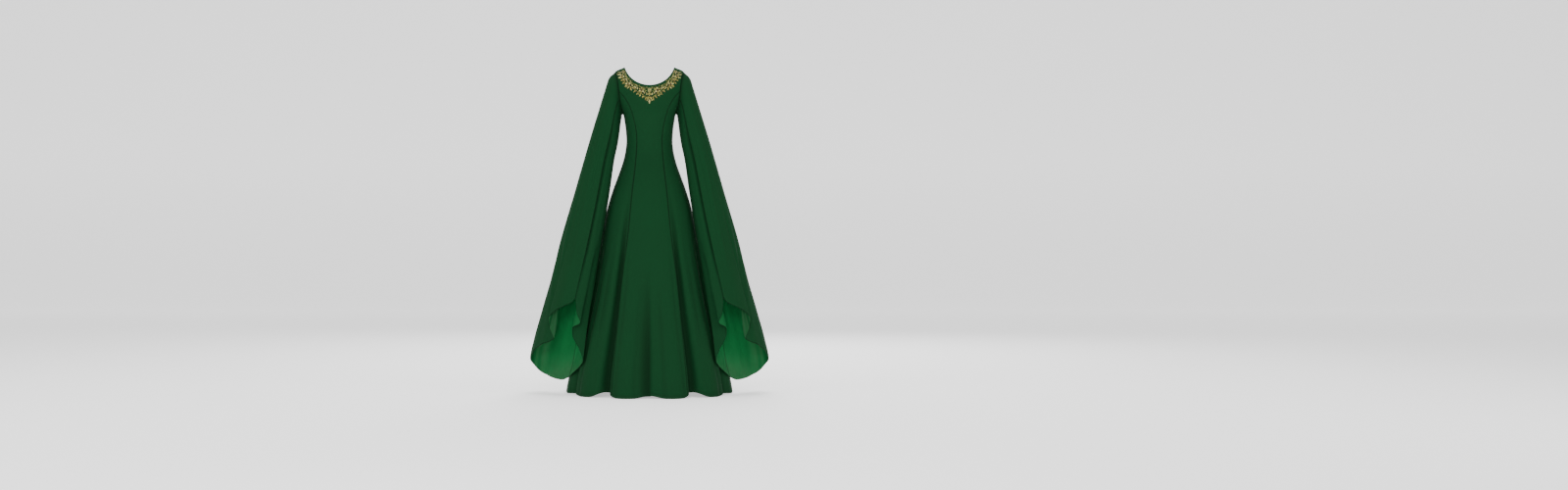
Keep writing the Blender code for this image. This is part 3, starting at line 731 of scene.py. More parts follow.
@dataclass
class SleeveForm:
    """One sleeve's surface: round it from the front seam (0) by the outer edge, and down it."""

    body: GownForm
    upper_columns: int = 84
    under_columns: int = 40
    rows: int = 176
    seam_fold: float = 0.006
    seam_fold_half: float = 9.0

    @staticmethod
    def loop(angle: Array, down: Array) -> Array:
        """Points of the plain sleeve tube.

        Args:
            angle: Degrees round the sleeve from its front.
            down: From the armhole (0) to the hem (1).

        Returns:
            The points on the +X sleeve.
        """
        angle, down = np.broadcast_arrays(angle, down)
        read = {name: SLEEVE_SECTIONS.read(name, down) for name in SLEEVE_SECTIONS.columns}
        turn = np.radians(angle)
        out = np.sin(turn)
        point = [lerp(read["inner_" + axis], read["outer_" + axis], 0.5 + 0.5 * out) for axis in "xyz"]
        narrow = lerp(ARMHOLE[Face.BACK] / ARMHOLE[Face.FRONT], 1.0, ease(down / 0.1))
        depth = read["depth"] * np.where(np.cos(turn) < 0.0, narrow, 1.0)
        point[1] = point[1] - depth * np.cos(turn)
        join = 1.0 - ease(down / 0.06)
        goal = BODY_SECTIONS.read("side", np.minimum(0.0, point[2]))
        point[0] = lerp(point[0], goal + ARMHOLE_OUT[0] * (down * 0.35), join * 0.98)
        return np.stack(point, axis=-1)

    def clear_of_skirt(self, point: Array) -> Array:
        """Moves sleeve points out of the skirt so that the sleeve hangs just beside it.

        Args:
            point: Points of the sleeve.

        Returns:
            The same points, moved where they were too close.
        """
        x, y, z = point[..., 0], point[..., 1], point[..., 2]
        moved = point.copy()
        for face, here in ((Face.FRONT, y < 0), (Face.BACK, y >= 0)):
            here = here & (z < -0.36) & (z > HEM_Z)
            wide, depth, _ = self.body.section(z[here], face)
            across = np.abs(x[here]) / wide
            along = np.abs(y[here]) / depth
            ratio = (across ** ROUNDNESS + along ** ROUNDNESS) ** (1.0 / ROUNDNESS)
            share = np.arctan2(across ** (ROUNDNESS / 2.0), along ** (ROUNDNESS / 2.0)) / (math.pi / 2.0)
            push = self.body.flute(self.body.plan_angle(share, face), z[here])
            size = np.hypot(x[here], y[here])
            needed = size / ratio + np.maximum(-0.004, push) + SLEEVE_CLEAR
            scale = np.maximum(1.0, needed / size)
            moved[here, 0] = x[here] * scale
            moved[here, 1] = y[here] * scale
        return moved

    def hem_down(self, angle: Array, level: Array) -> Array:
        """How far down the plain tube a level lies at an angle.

        Args:
            angle: Degrees round the sleeve.
            level: Levels.

        Returns:
            The place down the tube.
        """
        low = np.full_like(angle, 0.3)
        high = np.full_like(angle, 1.02)
        for _ in range(24):
            middle = (low + high) / 2.0
            above = self.loop(angle, middle)[..., 2] > level
            low = np.where(above, middle, low)
            high = np.where(above, high, middle)
        return low

    def point(self, around: Array, down: Array) -> Array:
        """Points of the +X sleeve.

        Args:
            around: 0 to 1 over the upper panel and 1 to 2 over the under panel, one a column.
            down: 0 at the armhole to 1 at the hem, one a row.

        Returns:
            A grid of points.
        """
        upper = around <= 1.0
        top_angle = np.where(
            upper, lerp(FRONT_SEAM, BACK_SEAM, around), lerp(BACK_SEAM, FRONT_SEAM + 360.0, around - 1.0))
        hem = {name: np.where(upper, UPPER_HEM.read(name, around), UNDER_HEM.read(name, around - 1.0))
               for name in ("angle", "x", "y", "z")}
        goal = np.stack((hem["x"], hem["y"], hem["z"]), axis=-1)
        end = self.hem_down(hem["angle"], hem["z"])
        rows = down[:, None]
        angle = lerp(top_angle[None], hem["angle"][None], ease(rows) ** 1.5)
        reach = rows * lerp(1.0, end[None], ease(rows / 0.5) ** 0.5)
        point = self.loop(angle, reach)
        pull = goal - self.loop(hem["angle"], end)
        point = point + pull[None] * (ease((rows - 0.6) / 0.4) ** 1.5)[..., None]
        crease = sum(bell(angle - FRONT_SEAM - turn, self.seam_fold_half) for turn in (0.0, 360.0))
        grown = ease((rows - 0.08) / 0.3) * (1.0 - ease((rows - 0.8) / 0.2))
        point[..., 1] += self.seam_fold * crease * grown
        return self.clear_of_skirt(point)

    @staticmethod
    def creased(around: Array, down: Array) -> Array:
        """How far the small folds push the sleeve out.

        Args:
            around: Place round the sleeve, one a column.
            down: Place down it, one a row.

        Returns:
            The push at each point of the grid.
        """
        total = np.zeros((len(down), len(around)))
        for start, end, top, bottom, depth, spread, fades in SLEEVE_CREASES:
            along = (down[:, None] - top) / (bottom - top)
            fade = ease(along / 0.4)
            if fades:
                fade = fade * ease((1.0 - along) / 0.3)
            total += depth * fade * bell(around[None] - lerp(start, end, along), spread)
        return total


def grid_normals(points: Array, outward: float) -> Array:
    """Unit directions out of a grid of points.

    Args:
        points: Rows and columns of points.
        outward: 1 or -1, so that the directions point out of the gown.

    Returns:
        One direction for each point.
    """
    return unit(np.cross(np.gradient(points, axis=1), np.gradient(points, axis=0)) * outward)


def lengths_along(points: Array, axis: int) -> Array:
    """Distance run along each row or column of a grid, from its start.

    Args:
        points: The grid.
        axis: 1 for its rows, 0 for its columns.

    Returns:
        One distance for each point.
    """
    steps = np.linalg.norm(np.diff(points, axis=axis), axis=-1)
    start = np.zeros_like(np.take(steps, [0], axis=axis))
    return np.concatenate((start, np.cumsum(steps, axis=axis)), axis=axis)


@dataclass
class Cloth:
    """A grid of cloth: its outer points, their directions out, and how dark each point is.

    A point's darkness, from 0 to 1, is painted shade: it lies along seams and edges and deep in folds, where
    shade falls.
    """

    points: Array
    normals: Array
    # seam: the painted shade of each point
    seam: Array

    def mirrored(self) -> "Cloth":
        """The same cloth on the other side of the gown."""
        flip = np.array((-1.0, 1.0, 1.0))
        return Cloth((self.points * flip)[:, ::-1], (self.normals * flip)[:, ::-1], self.seam[:, ::-1])

    def joined(self, other: "Cloth") -> "Cloth":
        """This cloth and another to its right, whose first column is this one's last."""
        pairs = ((self.points, other.points), (self.normals, other.normals), (self.seam, other.seam))
        return Cloth(*(np.concatenate((left, right[:, 1:]), axis=1) for left, right in pairs))

    def part(self, rows: slice, columns: slice) -> "Cloth":
        """Some rows and columns of the cloth."""
        return Cloth(
            self.points[rows, columns].copy(), self.normals[rows, columns], self.seam[rows, columns])


def link(name: str, data: bpy.types.ID) -> bpy.types.Object:
    """Links a new object to the scene.

    Args:
        name: The object's name.
        data: Its mesh, light or camera.

    Returns:
        The object.
    """
    made = bpy.data.objects.new(name, data)
    bpy.context.scene.collection.objects.link(made)
    return made


def make_object(name: str, points: Sequence, faces: Sequence, finish: bpy.types.Material) -> bpy.types.Object:
    """Links a smooth mesh object.

    Args:
        name: The object's name.
        points: Its points.
        faces: Its faces, as rows of point numbers.
        finish: Its material.

    Returns:
        The object.
    """
    mesh = bpy.data.meshes.new(name)
    mesh.from_pydata(points, [], faces)
    mesh.materials.append(finish)
    mesh.shade_smooth()
    mesh.update()
    return link(name, mesh)


def make_piece(name: str, points: Array, faces: Array, finish: bpy.types.Material) -> bpy.types.Object:
    """Makes a smooth mesh object that rides on the gown.

    Args:
        name: The piece's name.
        points: Its points, one a row.
        faces: Its faces, as rows of point numbers.
        finish: Its material.

    Returns:
        The object.
    """
    made = make_object(name, points.tolist(), faces.tolist(), finish)
    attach(made, BODY)
    return made


def lay_map(mesh: bpy.types.Mesh, places: Array) -> None:
    """Gives a mesh its UV map in metres across and down the cloth.

    Args:
        mesh: The mesh.
        places: One pair for each of its points.
    """
    corner = np.zeros(len(mesh.loops), dtype=np.int32)
    mesh.loops.foreach_get("vertex_index", corner)
    layer = mesh.uv_layers.new(name="cloth")
    layer.uv.foreach_set("vector", places[corner].astype(np.float32).reshape(-1))


def grid_faces(at: Array) -> Array:
    """The four-cornered faces of a grid of point numbers, one face a row."""
    corners = (at[..., :-1, :-1], at[..., 1:, :-1], at[..., 1:, 1:], at[..., :-1, 1:])
    return np.stack(corners, axis=-1).reshape(-1, 4)


def sew_shell(name: str, cloth: Cloth, finish: bpy.types.Material, thick: float = SHELL,
              rise: float = 0.0) -> bpy.types.Object:
    """Makes a closed thin shell whose outer face is the cloth.

    Args:
        name: The piece's name.
        cloth: The outer face.
        finish: Its material.
        thick: How thick the shell is.
        rise: How far the outer face lies out from the cloth's points.

    Returns:
        The shell, with a UV map in metres across and down the cloth.
    """
    rows, columns = cloth.points.shape[:2]
    total = rows * columns
    outer = cloth.points + cloth.normals * rise
    inner = cloth.points + cloth.normals * (rise - thick)
    points = np.concatenate((outer.reshape(-1, 3), inner.reshape(-1, 3)))
    at = np.arange(total).reshape(rows, columns)
    quads = grid_faces(at)
    facing = np.cross(points[quads[:, 1]] - points[quads[:, 0]], points[quads[:, 3]] - points[quads[:, 0]])
    wanted = cloth.normals.reshape(-1, 3)[quads[:, 0]]
    if (facing * wanted).sum() < 0.0:
        quads = quads[:, ::-1]
    within = quads[:, ::-1] + total
    # The rim joins both faces, and is turned so that it faces away from the cloth's middle
    rim = np.concatenate((at[0, :-1], at[:-1, -1], at[-1, :0:-1], at[:0:-1, 0]))
    after = np.roll(rim, -1)
    edge = np.stack((rim, after, after + total, rim + total), axis=-1)
    ring = points[edge]
    middle = np.cross(ring[:, 1] - ring[:, 0], ring[:, 3] - ring[:, 0])
    outwards = ring.mean(axis=1) - points[:total].mean(axis=0)
    if (middle * outwards).sum() < 0.0:
        edge = edge[:, ::-1]
    made = make_piece(name, points, np.concatenate((quads, within, edge)), finish)
    mesh = made.data
    places = np.stack([lengths_along(cloth.points, axis).reshape(-1) for axis in (1, 0)], axis=-1)
    lay_map(mesh, np.tile(places, (2, 1)))
    # The seam attribute carries each point's painted shade to the finishes.
    painted_shade_values = mesh.attributes.new("seam", "FLOAT", "POINT")
    painted_shade_values.data.foreach_set("value", np.tile(cloth.seam.reshape(-1), 2).astype(np.float32))
    mesh.set_sharp_from_angle(angle=math.radians(60.0))
    return made


def sew_sheet(name: str, node: str, cloth: Cloth, finish: bpy.types.Material,
              thick: float = SHELL, rise: float = 0.0) -> None:
    """Makes one piece of the gown and hides the solid that it stands for.

    Args:
        name: The piece's name.
        node: The node that it stands for.
        cloth: Its cloth.
        finish: Its material.
        thick: How thick it is.
        rise: How far it lies out from the cloth's points.
    """
    made = sew_shell(name, cloth, finish, thick, rise)
    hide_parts(node)


class NodeBook:
    """Short calls for a material's nodes."""

    def __init__(self, name: str) -> None:
        """Starts a material with a Principled shader.

        Args:
            name: The material's name.
        """
        self.material = bpy.data.materials.new(name)
        self.material.use_nodes = True
        self.tree = self.material.node_tree
        self.shader = self.tree.nodes["Principled BSDF"]

    def add(self, kind: str, **values: object) -> bpy.types.Node:
        """Adds a node.

        Args:
            kind: Its type, without the words ShaderNode.
            values: Its sockets by name, with _ for a space: a number or colour is set, and
                another node's output is linked.

        Returns:
            The node.
        """
        node = self.tree.nodes.new("ShaderNode" + kind)
        for key, value in values.items():
            self.put(node, key.replace("_", " "), value)
        return node

    def put(self, node: bpy.types.Node, socket: Union[int, str], value: object) -> None:
        """Sets a socket, or links another node's output to it.

        Args:
            node: The node.
            socket: The socket's name or place.
            value: A number, a colour or an output.
        """
        if isinstance(value, Socket):
            self.tree.links.new(value, node.inputs[socket])
        else:
            node.inputs[socket].default_value = value

    def set(self, **values: object) -> None:
        """Sets or links the shader's own sockets, with _ for a space in their names."""
        for key, value in values.items():
            self.put(self.shader, key.replace("_", " "), value)

    def maths(self, operation: str, a: Value, b: Value = 0.0) -> Socket:
        """A Math node's output.

        Args:
            operation: What it does.
            a: The first value.
            b: The second value.

        Returns:
            The output.
        """
        node = self.tree.nodes.new("ShaderNodeMath")
        node.operation = operation
        self.put(node, 0, a)
        self.put(node, 1, b)
        return node.outputs[0]

    def scaled(self, value: Socket, by: float, plus: float) -> Socket:
        """An output times a number, plus another."""
        return self.maths("ADD", self.maths("MULTIPLY", value, by), plus)

    def places(self) -> Sequence[Socket]:
        """Metres across and down the cloth, from its UV map.

        Returns:
            A node's outputs, of which these are the first two.
        """
        uv = self.tree.nodes.new("ShaderNodeUVMap")
        uv.uv_map = "cloth"
        return self.add("SeparateXYZ", Vector=uv.outputs[0]).outputs

    def blend(self, share: Socket, low: Union[Colour, Socket], high: Union[Colour, Socket]) -> Socket:
        """A colour between two, by an output that runs from 0 to 1.

        Args:
            share: The output.
            low: The colour at 0, or an output.
            high: The colour at 1, or an output.

        Returns:
            The colour output.
        """
        node = self.tree.nodes.new("ShaderNodeMix")
        node.data_type = "RGBA"
        self.put(node, 0, share)
        self.put(node, 6, (*low, 1.0) if isinstance(low, tuple) else low)
        self.put(node, 7, (*high, 1.0) if isinstance(high, tuple) else high)
        return node.outputs[2]

    def weave(self, period: float) -> Socket:
        """Height of a plain weave laid along the cloth's UV map.

        Args:
            period: Metres from one thread to the next.

        Returns:
            An output from 0 to 1.
        """
        across, down = self.places()[:2]
        turns = math.pi / period
        warp = self.maths("SINE", self.maths("MULTIPLY", across, turns))
        weft = self.maths("SINE", self.maths("MULTIPLY", down, turns))
        return self.scaled(self.maths("MULTIPLY", warp, weft), 0.5, 0.5)

    def seam(self) -> Socket:
        """The painted shade of the cloth along its seams and edges and in its folds.

        Returns:
            An output that is 0 in the open and 1 on a seam.
        """
        node = self.tree.nodes.new("ShaderNodeAttribute")
        node.attribute_name = "seam"
        return node.outputs["Fac"]

    def noise(self, scale: float, detail: float = 3.0,
              stretch: Tuple[float, float, float] = (1.0, 1.0, 1.0), rough: float = 0.5) -> Socket:
        """A noise output in the gown's own metres.

        Args:
            scale: Blotches to the metre.
            detail: Octaves.
            stretch: How much the pattern is squeezed along each axis.
            rough: How strong the finer octaves are.

        Returns:
            An output from 0 to 1.
        """
        place = self.tree.nodes.new("ShaderNodeTexCoord")
        mapping = self.add("Mapping", Vector=place.outputs["Object"], Scale=stretch)
        made = self.add("TexNoise", Vector=mapping.outputs[0], Scale=scale, Detail=detail, Roughness=rough)
        return made.outputs[0]

    def bump(self, height: Socket, distance: float, strength: float,
             under: Optional[Socket] = None) -> Socket:
        """A bump from a height.

        Args:
            height: The height output.
            distance: Metres that a height of 1 stands for.
            strength: How strongly it shows.
            under: A bump that this one is added to.

        Returns:
            The normal output.
        """
        node = self.add("Bump", Height=height, Distance=distance, Strength=strength)
        if under is not None:
            self.put(node, "Normal", under)
        return node.outputs[0]


@dataclass(frozen=True)
class CrepeFinish:
    """Matt deep green crepe with a fine weave and a soft bloom."""

    name: str = "green_crepe"
    deep: Colour = (0.0022, 0.0262, 0.0080)
    light: Colour = (0.0031, 0.0345, 0.0105)
    painted_shade_colour: Colour = (0.0007, 0.0070, 0.0022)
    roughness: float = 0.86
    shine: float = 0.07
    sheen: float = 0.02
    sheen_rough: float = 0.45
    sheen_tint: Colour = (0.05, 0.35, 0.12)
    clouds: float = 5.0
    flecks: float = 420.0
    grains: float = 900.0
    grain_high: float = 0.00022
    drags: float = 9.0
    drag_high: float = 0.0018
    thread: float = 0.0007
    weave_high: float = 0.00009

    def build(self) -> bpy.types.Material:
        """Makes the material's nodes.

        Returns:
            The material.
        """
        book = NodeBook(self.name)
        cloud = book.noise(self.clouds, 3.0, (1.0, 1.0, 0.5))
        fleck = book.noise(self.flecks, 2.0)
        share = book.maths("ADD", book.maths("MULTIPLY", cloud, 0.75), book.maths("MULTIPLY", fleck, 0.35))
        cloth = book.blend(share, self.deep, self.light)
        # Painted shade: the seam attribute mixes a darker colour in along seams, edges and folds.
        book.set(Base_Color=book.blend(book.seam(), cloth, self.painted_shade_colour))
        rough = book.scaled(cloud, 0.12, self.roughness - 0.06)
        book.set(Roughness=rough, Specular_IOR_Level=self.shine, Sheen_Weight=self.sheen)
        book.set(Sheen_Roughness=self.sheen_rough, Sheen_Tint=(*self.sheen_tint, 1.0))
        grain = book.bump(book.noise(self.grains, 2.0, rough=0.6), self.grain_high, 0.55)
        drag = book.bump(book.noise(self.drags, 2.0, (1.0, 1.0, 0.25)), self.drag_high, 0.35, grain)
        book.set(Normal=book.bump(book.weave(self.thread), self.weave_high, 0.5, drag))
        return book.material


@dataclass(frozen=True)
class LiningFinish:
    """Smooth lighter green lining with a quiet shine."""

    name: str = "sleeve_satin"
    deep: Colour = (0.0078, 0.116, 0.0300)
    light: Colour = (0.0098, 0.140, 0.0370)
    painted_shade_colour: Colour = (0.0016, 0.024, 0.0065)
    roughness: float = 0.52
    shine: float = 0.09
    clouds: float = 7.0
    slubs: float = 120.0
    slub_high: float = 0.0003
    thread: float = 0.0005
    weave_high: float = 0.00004

    def build(self) -> bpy.types.Material:
        """Makes the material's nodes.

        Returns:
            The material.
        """
        book = NodeBook(self.name)
        cloud = book.noise(self.clouds, 2.0, (1.0, 1.0, 0.35))
        # Painted shade: the seam attribute mixes a darker colour in along seams, at the hem and on the
        # turned-back lobe.
        book.set(Base_Color=book.blend(book.seam(), book.blend(cloud, self.deep, self.light), self.painted_shade_colour))
        slub = book.noise(self.slubs, 2.0, (1.0, 1.0, 0.06))
        book.set(Roughness=book.scaled(slub, 0.14, self.roughness - 0.07))
        book.set(Specular_IOR_Level=self.shine)
        fine = book.bump(slub, self.slub_high, 0.35)
        book.set(Normal=book.bump(book.weave(self.thread), self.weave_high, 0.35, fine))
        return book.material


@dataclass
class BodyPanels:
    """The seven panels of the body, from the neckline to the floor and the train."""

    form: GownForm
    cloth: bpy.types.Material
    fold_top: float = -0.86
    fold_depth: float = 0.013
    fold_soft: float = 0.026
    fold_sharp: float = 0.007
    fold_painted_shade: float = 0.6
    fold_shade_soft_reach: float = 0.042
    fold_shade_sharp_reach: float = 0.003
    crease_painted_shade_depth: float = 0.021
    crease_painted_shade_most: float = 0.62
    neck_edge_painted_shade: float = 0.3

    def panel(self, face: Face, centre: bool) -> Cloth:
        """The creased cloth of one half panel on the +X side.

        Args:
            face: Front or back.
            centre: Whether it is a centre panel, and not a side panel.

        Returns:
            The cloth.
        """
        form = self.form
        share, level = form.centre_grid(face) if centre else form.side_grid(face)
        outward = -1.0 if face is Face.FRONT else 1.0
        points = form.point(share, level, face)
        smooth = grid_normals(points, outward)
        crease = form.creased(share, level, face)
        first_is_seam = not centre or face is Face.BACK
        across = lengths_along(points, 1)
        dip = bell(across[:, -1:] - across, form.seam_reach)
        if first_is_seam:
            dip = dip + bell(across, form.seam_reach)
        reach = np.minimum(1.0, across[:, -1:] / 0.02)
        push = crease - form.seam_dip * np.minimum(1.0, dip) * reach
        push[0] = 0.0
        points = points + smooth * push[..., None]
        normals = grid_normals(points, outward)
        # Painted shade: dark lines along the seams and edges, and darkness deep in the creases' troughs,
        # where shade falls.
        seam = form.painted_seam_shade(points, first_is_seam)
        seam = np.maximum(seam, np.clip(-crease / self.crease_painted_shade_depth, 0.0, self.crease_painted_shade_most))
        if centre:
            # Painted shade along the neck edge.
            seam[0, points[0, :, 0] < NECK_X - 0.002] = self.neck_edge_painted_shade
            self.turn_shoulder(points, normals, face)
        return Cloth(points, normals, seam)

    @staticmethod
    def turn_shoulder(points: Array, normals: Array, face: Face) -> None:
        """Stands the top row on end along the shoulder seam, clear of the other face's row.

        Args:
            points: The grid, which is changed.
            normals: Its directions, which are changed.
            face: Front or back.
        """
        for sign in (1.0, -1.0):
            beside = sign * points[0, :, 0] > NECK_X - 0.002
            points[0, beside, 1] = (-1.0 if face is Face.FRONT else 1.0) * SEAM_GAP * 0.7
            normals[0, beside] = unit(np.array((sign * SHOULDER_SLOPE, 0.0, 1.0)))

    def centre_fold(self, cloth: Cloth) -> Cloth:
        """Presses the fold down the centre of the skirt, sharp on the wearer's left only, and paints shade
        into it.

        Args:
            cloth: The whole front centre panel.

        Returns:
            The panel with its fold.
        """
        x, z = cloth.points[..., 0], cloth.points[..., 2]
        reach = np.where(x < 0.0, self.fold_soft, self.fold_sharp)
        grown = ease((self.fold_top - z) / (self.fold_top - HEM_Z) / 0.8)
        push = -self.fold_depth * grown * bell(x, reach * (0.5 + 0.5 * grown))
        points = cloth.points + cloth.normals * push[..., None]
        # Painted shade in the fold: wide and soft on the wearer's right, narrow on the left.
        fold_shade_reach = np.where(x < 0.0, self.fold_shade_soft_reach, self.fold_shade_sharp_reach)
        painted_shade = self.fold_painted_shade * grown * bell(x, fold_shade_reach)
        return Cloth(points, grid_normals(points, -1.0), np.maximum(cloth.seam, painted_shade))

    def sew(self, name: str, cloth: Cloth, *hangs_from: str) -> None:
        """Makes one panel of green cloth, by its node's name and its cloth; what carries it is not used."""
        sew_sheet(name + "_cloth", name, cloth, self.cloth)

    def build(self) -> None:
        """Makes the seven panels."""
        half = self.panel(Face.FRONT, True)
        whole = self.centre_fold(half.mirrored().joined(half))
        self.turn_shoulder(whole.points, whole.normals, Face.FRONT)
        self.sew("front_centre", whole, "back_centre_left", "back_centre_right")
        for name, face, centre in (("front_side", Face.FRONT, False), ("back_side", Face.BACK, False),
                                   ("back_centre", Face.BACK, True)):
            left = self.panel(face, centre)
            self.sew(name + "_left", left, "front_centre")
            self.sew(name + "_right", left.mirrored(), "front_centre")


@dataclass
class Sleeves:
    """Both trumpet sleeves: an upper panel, an under panel and the lining of the lower half."""

    form: SleeveForm
    cloth: bpy.types.Material
    lining: bpy.types.Material
    lining_from: float = 0.64
    lining_thick: float = 0.0008
    flap_rise: float = 0.0042
    flap_reach: float = 0.008
    # Painted shadow and shade of the sleeves and their lining: strengths and reaches
    flap_painted_shadow: float = 0.28
    flap_painted_shadow_reach: float = 0.016
    armhole_painted_shade: float = 0.5
    armhole_painted_shade_reach: float = 0.012
    painted_hem_line: float = 0.8
    tuck: float = 0.003
    hem_painted_shade: float = 0.50
    hem_painted_shade_reach: float = 0.17
    turned_painted_shade: float = 0.78
    turned_x: float = 0.400
    turned_y: float = -0.105
    hem_inset: float = 0.0012
    seam_inset: float = 0.0016

    def tube(self) -> Tuple[Cloth, Array, int]:
        """The creased tube of the +X sleeve, with its painted shade.

        Returns:
            Its cloth, how far down each row lies, and the number of the back seam's column.
        """
        form = self.form
        upper = np.linspace(0.0, 1.0, form.upper_columns + 1)
        under = np.linspace(1.0, 2.0, form.under_columns + 1)[1:]
        near = np.array(SEAM_COLUMNS)
        around = np.unique(np.concatenate((upper, under, near, 1.0 - near, 1.0 + 2 * near, 2.0 - 2 * near)))
        near_hem = np.array((0.9925, 0.9945, 0.9965, 0.9985, 1.0))
        down = np.concatenate((np.linspace(0.0, 0.05, 10)[:-1], np.linspace(0.05, 0.99, form.rows), near_hem))
        points = form.point(around, down)
        push = form.creased(around, down)
        smooth = self.tube_normals(points)
        across = lengths_along(points, 1)
        whole = across[:, -1:]
        seam = int(np.argmin(np.abs(around - 1.0)))
        body = form.body
        to_back = across - across[:, seam:seam + 1]
        for from_seam in (across, whole - across, np.abs(to_back)):
            push = push - body.seam_dip * bell(from_seam, body.seam_reach)
        flap = np.where(around < 1.0, bell(across - self.flap_reach, self.flap_reach), 0.0)
        under = np.where(around > 1.0, bell(whole - across, 2.2 * self.flap_reach), 0.0)
        long = (ease((down - 0.06) / 0.25) * (1.0 - 0.6 * ease((down - 0.8) / 0.2)))[:, None]
        push = push + long * self.flap_rise * (flap - 1.2 * under)
        push = push * ease(down / 0.05)[:, None]
        points = points + smooth * push[..., None]
        points[:, -1] = points[:, 0]
        normals = self.tube_normals(points)
        # Painted shade: dark lines along the seams, the armhole and the hem, a painted shadow of the upper
        # panel's front edge on the under panel, and soft painted shade below the armhole.
        reach = body.painted_line_reach
        near = bell(np.minimum(across, whole - across), 1.3 * reach)
        flap_shadow = self.flap_painted_shadow * bell(whole - across, self.flap_painted_shadow_reach) * long
        fall = lengths_along(points, 0)
        for painted_shade in (np.where(around > 1.0, flap_shadow, 0.0), bell(to_back, reach), bell(fall, 1.6 * reach),
                     self.armhole_painted_shade * bell(fall, self.armhole_painted_shade_reach),
                     self.painted_hem_line * bell(fall[-1:] - fall, reach)):
            near = np.maximum(near, painted_shade)
        tuck = points[:1] - np.array(ARMHOLE_OUT) * self.tuck - normals[:1] * self.tuck
        points = np.concatenate((tuck, points))
        normals = np.concatenate((normals[:1], normals))
        near = np.concatenate((near[:1], near))
        down = np.concatenate(([-0.01], down))
        return Cloth(points, normals, near), down, seam

    @staticmethod
    def tube_normals(points: Array) -> Array:
        """Directions out of the tube, the same on both sides of the front seam.

        Args:
            points: The tube's grid.

        Returns:
            One direction for each point.
        """
        normals = grid_normals(points, -1.0)
        normals[:, 0] = normals[:, -1] = unit(normals[:, 0] + normals[:, -1])
        return normals

    def inside(self, tube: Cloth, down: Array) -> Cloth:
        """The lining's cloth: the lower tube, with painted shade at its hem and where the hem turns back.

        Args:
            tube: The whole tube.
            down: How far down each of its rows lies.

        Returns:
            The cloth, drawn in a little from the edges of the tube.
        """
        within = tube.part(slice(int(np.searchsorted(down, self.lining_from)), None), slice(None))
        fall = lengths_along(within.points, 0)
        # Painted shade: darker toward the hem, and on the turned-back lobe whose inside faces forward.
        shade = self.hem_painted_shade * bell(fall[-1:] - fall, self.hem_painted_shade_reach)
        x, y = within.points[..., 0], within.points[..., 1]
        turned_lobe = ease((x - self.turned_x) / 0.020) * ease((self.turned_y - y) / 0.030)
        shade = np.maximum(shade, self.turned_painted_shade * turned_lobe * (within.normals[..., 1] > 0.0))
        within.seam = np.maximum(within.seam, shade)
        within.points[-1] += unit(within.points[-2] - within.points[-1]) * self.hem_inset
        for last, near in ((0, 1), (-1, -2)):
            step = within.points[:, near] - within.points[:, last]
            size = np.linalg.norm(step, axis=-1, keepdims=True)
            within.points[:, last] += unit(step) * np.minimum(self.seam_inset, size * 0.4)
        return within

    def build(self) -> None:
        """Makes both sleeves."""
        tube, down, seam = self.tube()
        pieces = [tube.part(slice(None), slice(None, seam + 1)), tube.part(slice(None), slice(seam, None)),
                  self.inside(tube, down)]
        for side in Side:
            if side is Side.RIGHT:
                pieces = [piece.mirrored() for piece in pieces]
            body, outer = ([kind + side.word for kind in kinds] for kinds in (
                ("back_centre_", "front_side_", "back_side_"), ("sleeve_upper_", "sleeve_under_")))
            for node, piece in zip(outer, pieces):
                sew_sheet(node + "_cloth", node, piece, self.cloth)
            lining = "sleeve_lining_" + side.word
            sew_sheet(lining + "_satin", lining, pieces[2], self.lining,
                      self.lining_thick, -(CLOTH + SEAM_GAP))


@dataclass(frozen=True)
class ThreadFinish:
    """Metallic embroidery thread laid side by side across a motif."""

    name: str
    deep: Colour
    light: Colour
    metallic: float = 0.35
    roughness: float = 0.45
    shine: float = 0.3
    patches: float = 170.0
    strand: float = 0.0006
    strand_slant: float = 0.6
    strand_high: float = 0.00012

    def build(self) -> bpy.types.Material:
        """Makes the material's nodes.

        Returns:
            The material.
        """
        book = NodeBook(self.name)
        patch = book.noise(self.patches, 2.0)
        across, down = book.places()[:2]
        slant = book.maths("ADD", down, book.maths("MULTIPLY", across, self.strand_slant))
        strands = book.maths("SINE", book.maths("MULTIPLY", slant, 2.0 * math.pi / self.strand))
        # Random patches of tone, and a painted highlight along the crest of each strand.
        tone_and_strand_highlight = book.maths("ADD", book.scaled(patch, 2.8, -0.95), book.maths("MULTIPLY", strands, 0.12))
        book.set(Base_Color=book.blend(tone_and_strand_highlight, self.deep, self.light), Metallic=self.metallic)
        book.set(Roughness=book.scaled(patch, 0.16, self.roughness - 0.08), Specular_IOR_Level=self.shine)
        book.set(Normal=book.bump(book.scaled(strands, 0.5, 0.5), self.strand_high, 0.8))
        return book.material


class Thread(Enum):
    """The threads and beads of the embroidery, in the order of its materials."""

    GOLD = 0
    PALE = 1
    # Also the finish of the painted shadow strips under the wider leaves.
    BRONZE_AND_SHADOW = 2


@dataclass
class Strip:
    """One stitched motif: a line through it, its half width and its height, and its thread."""

    line: Array
    half: Array
    rise: Array
    thread: Thread
    vein: float = 0.0


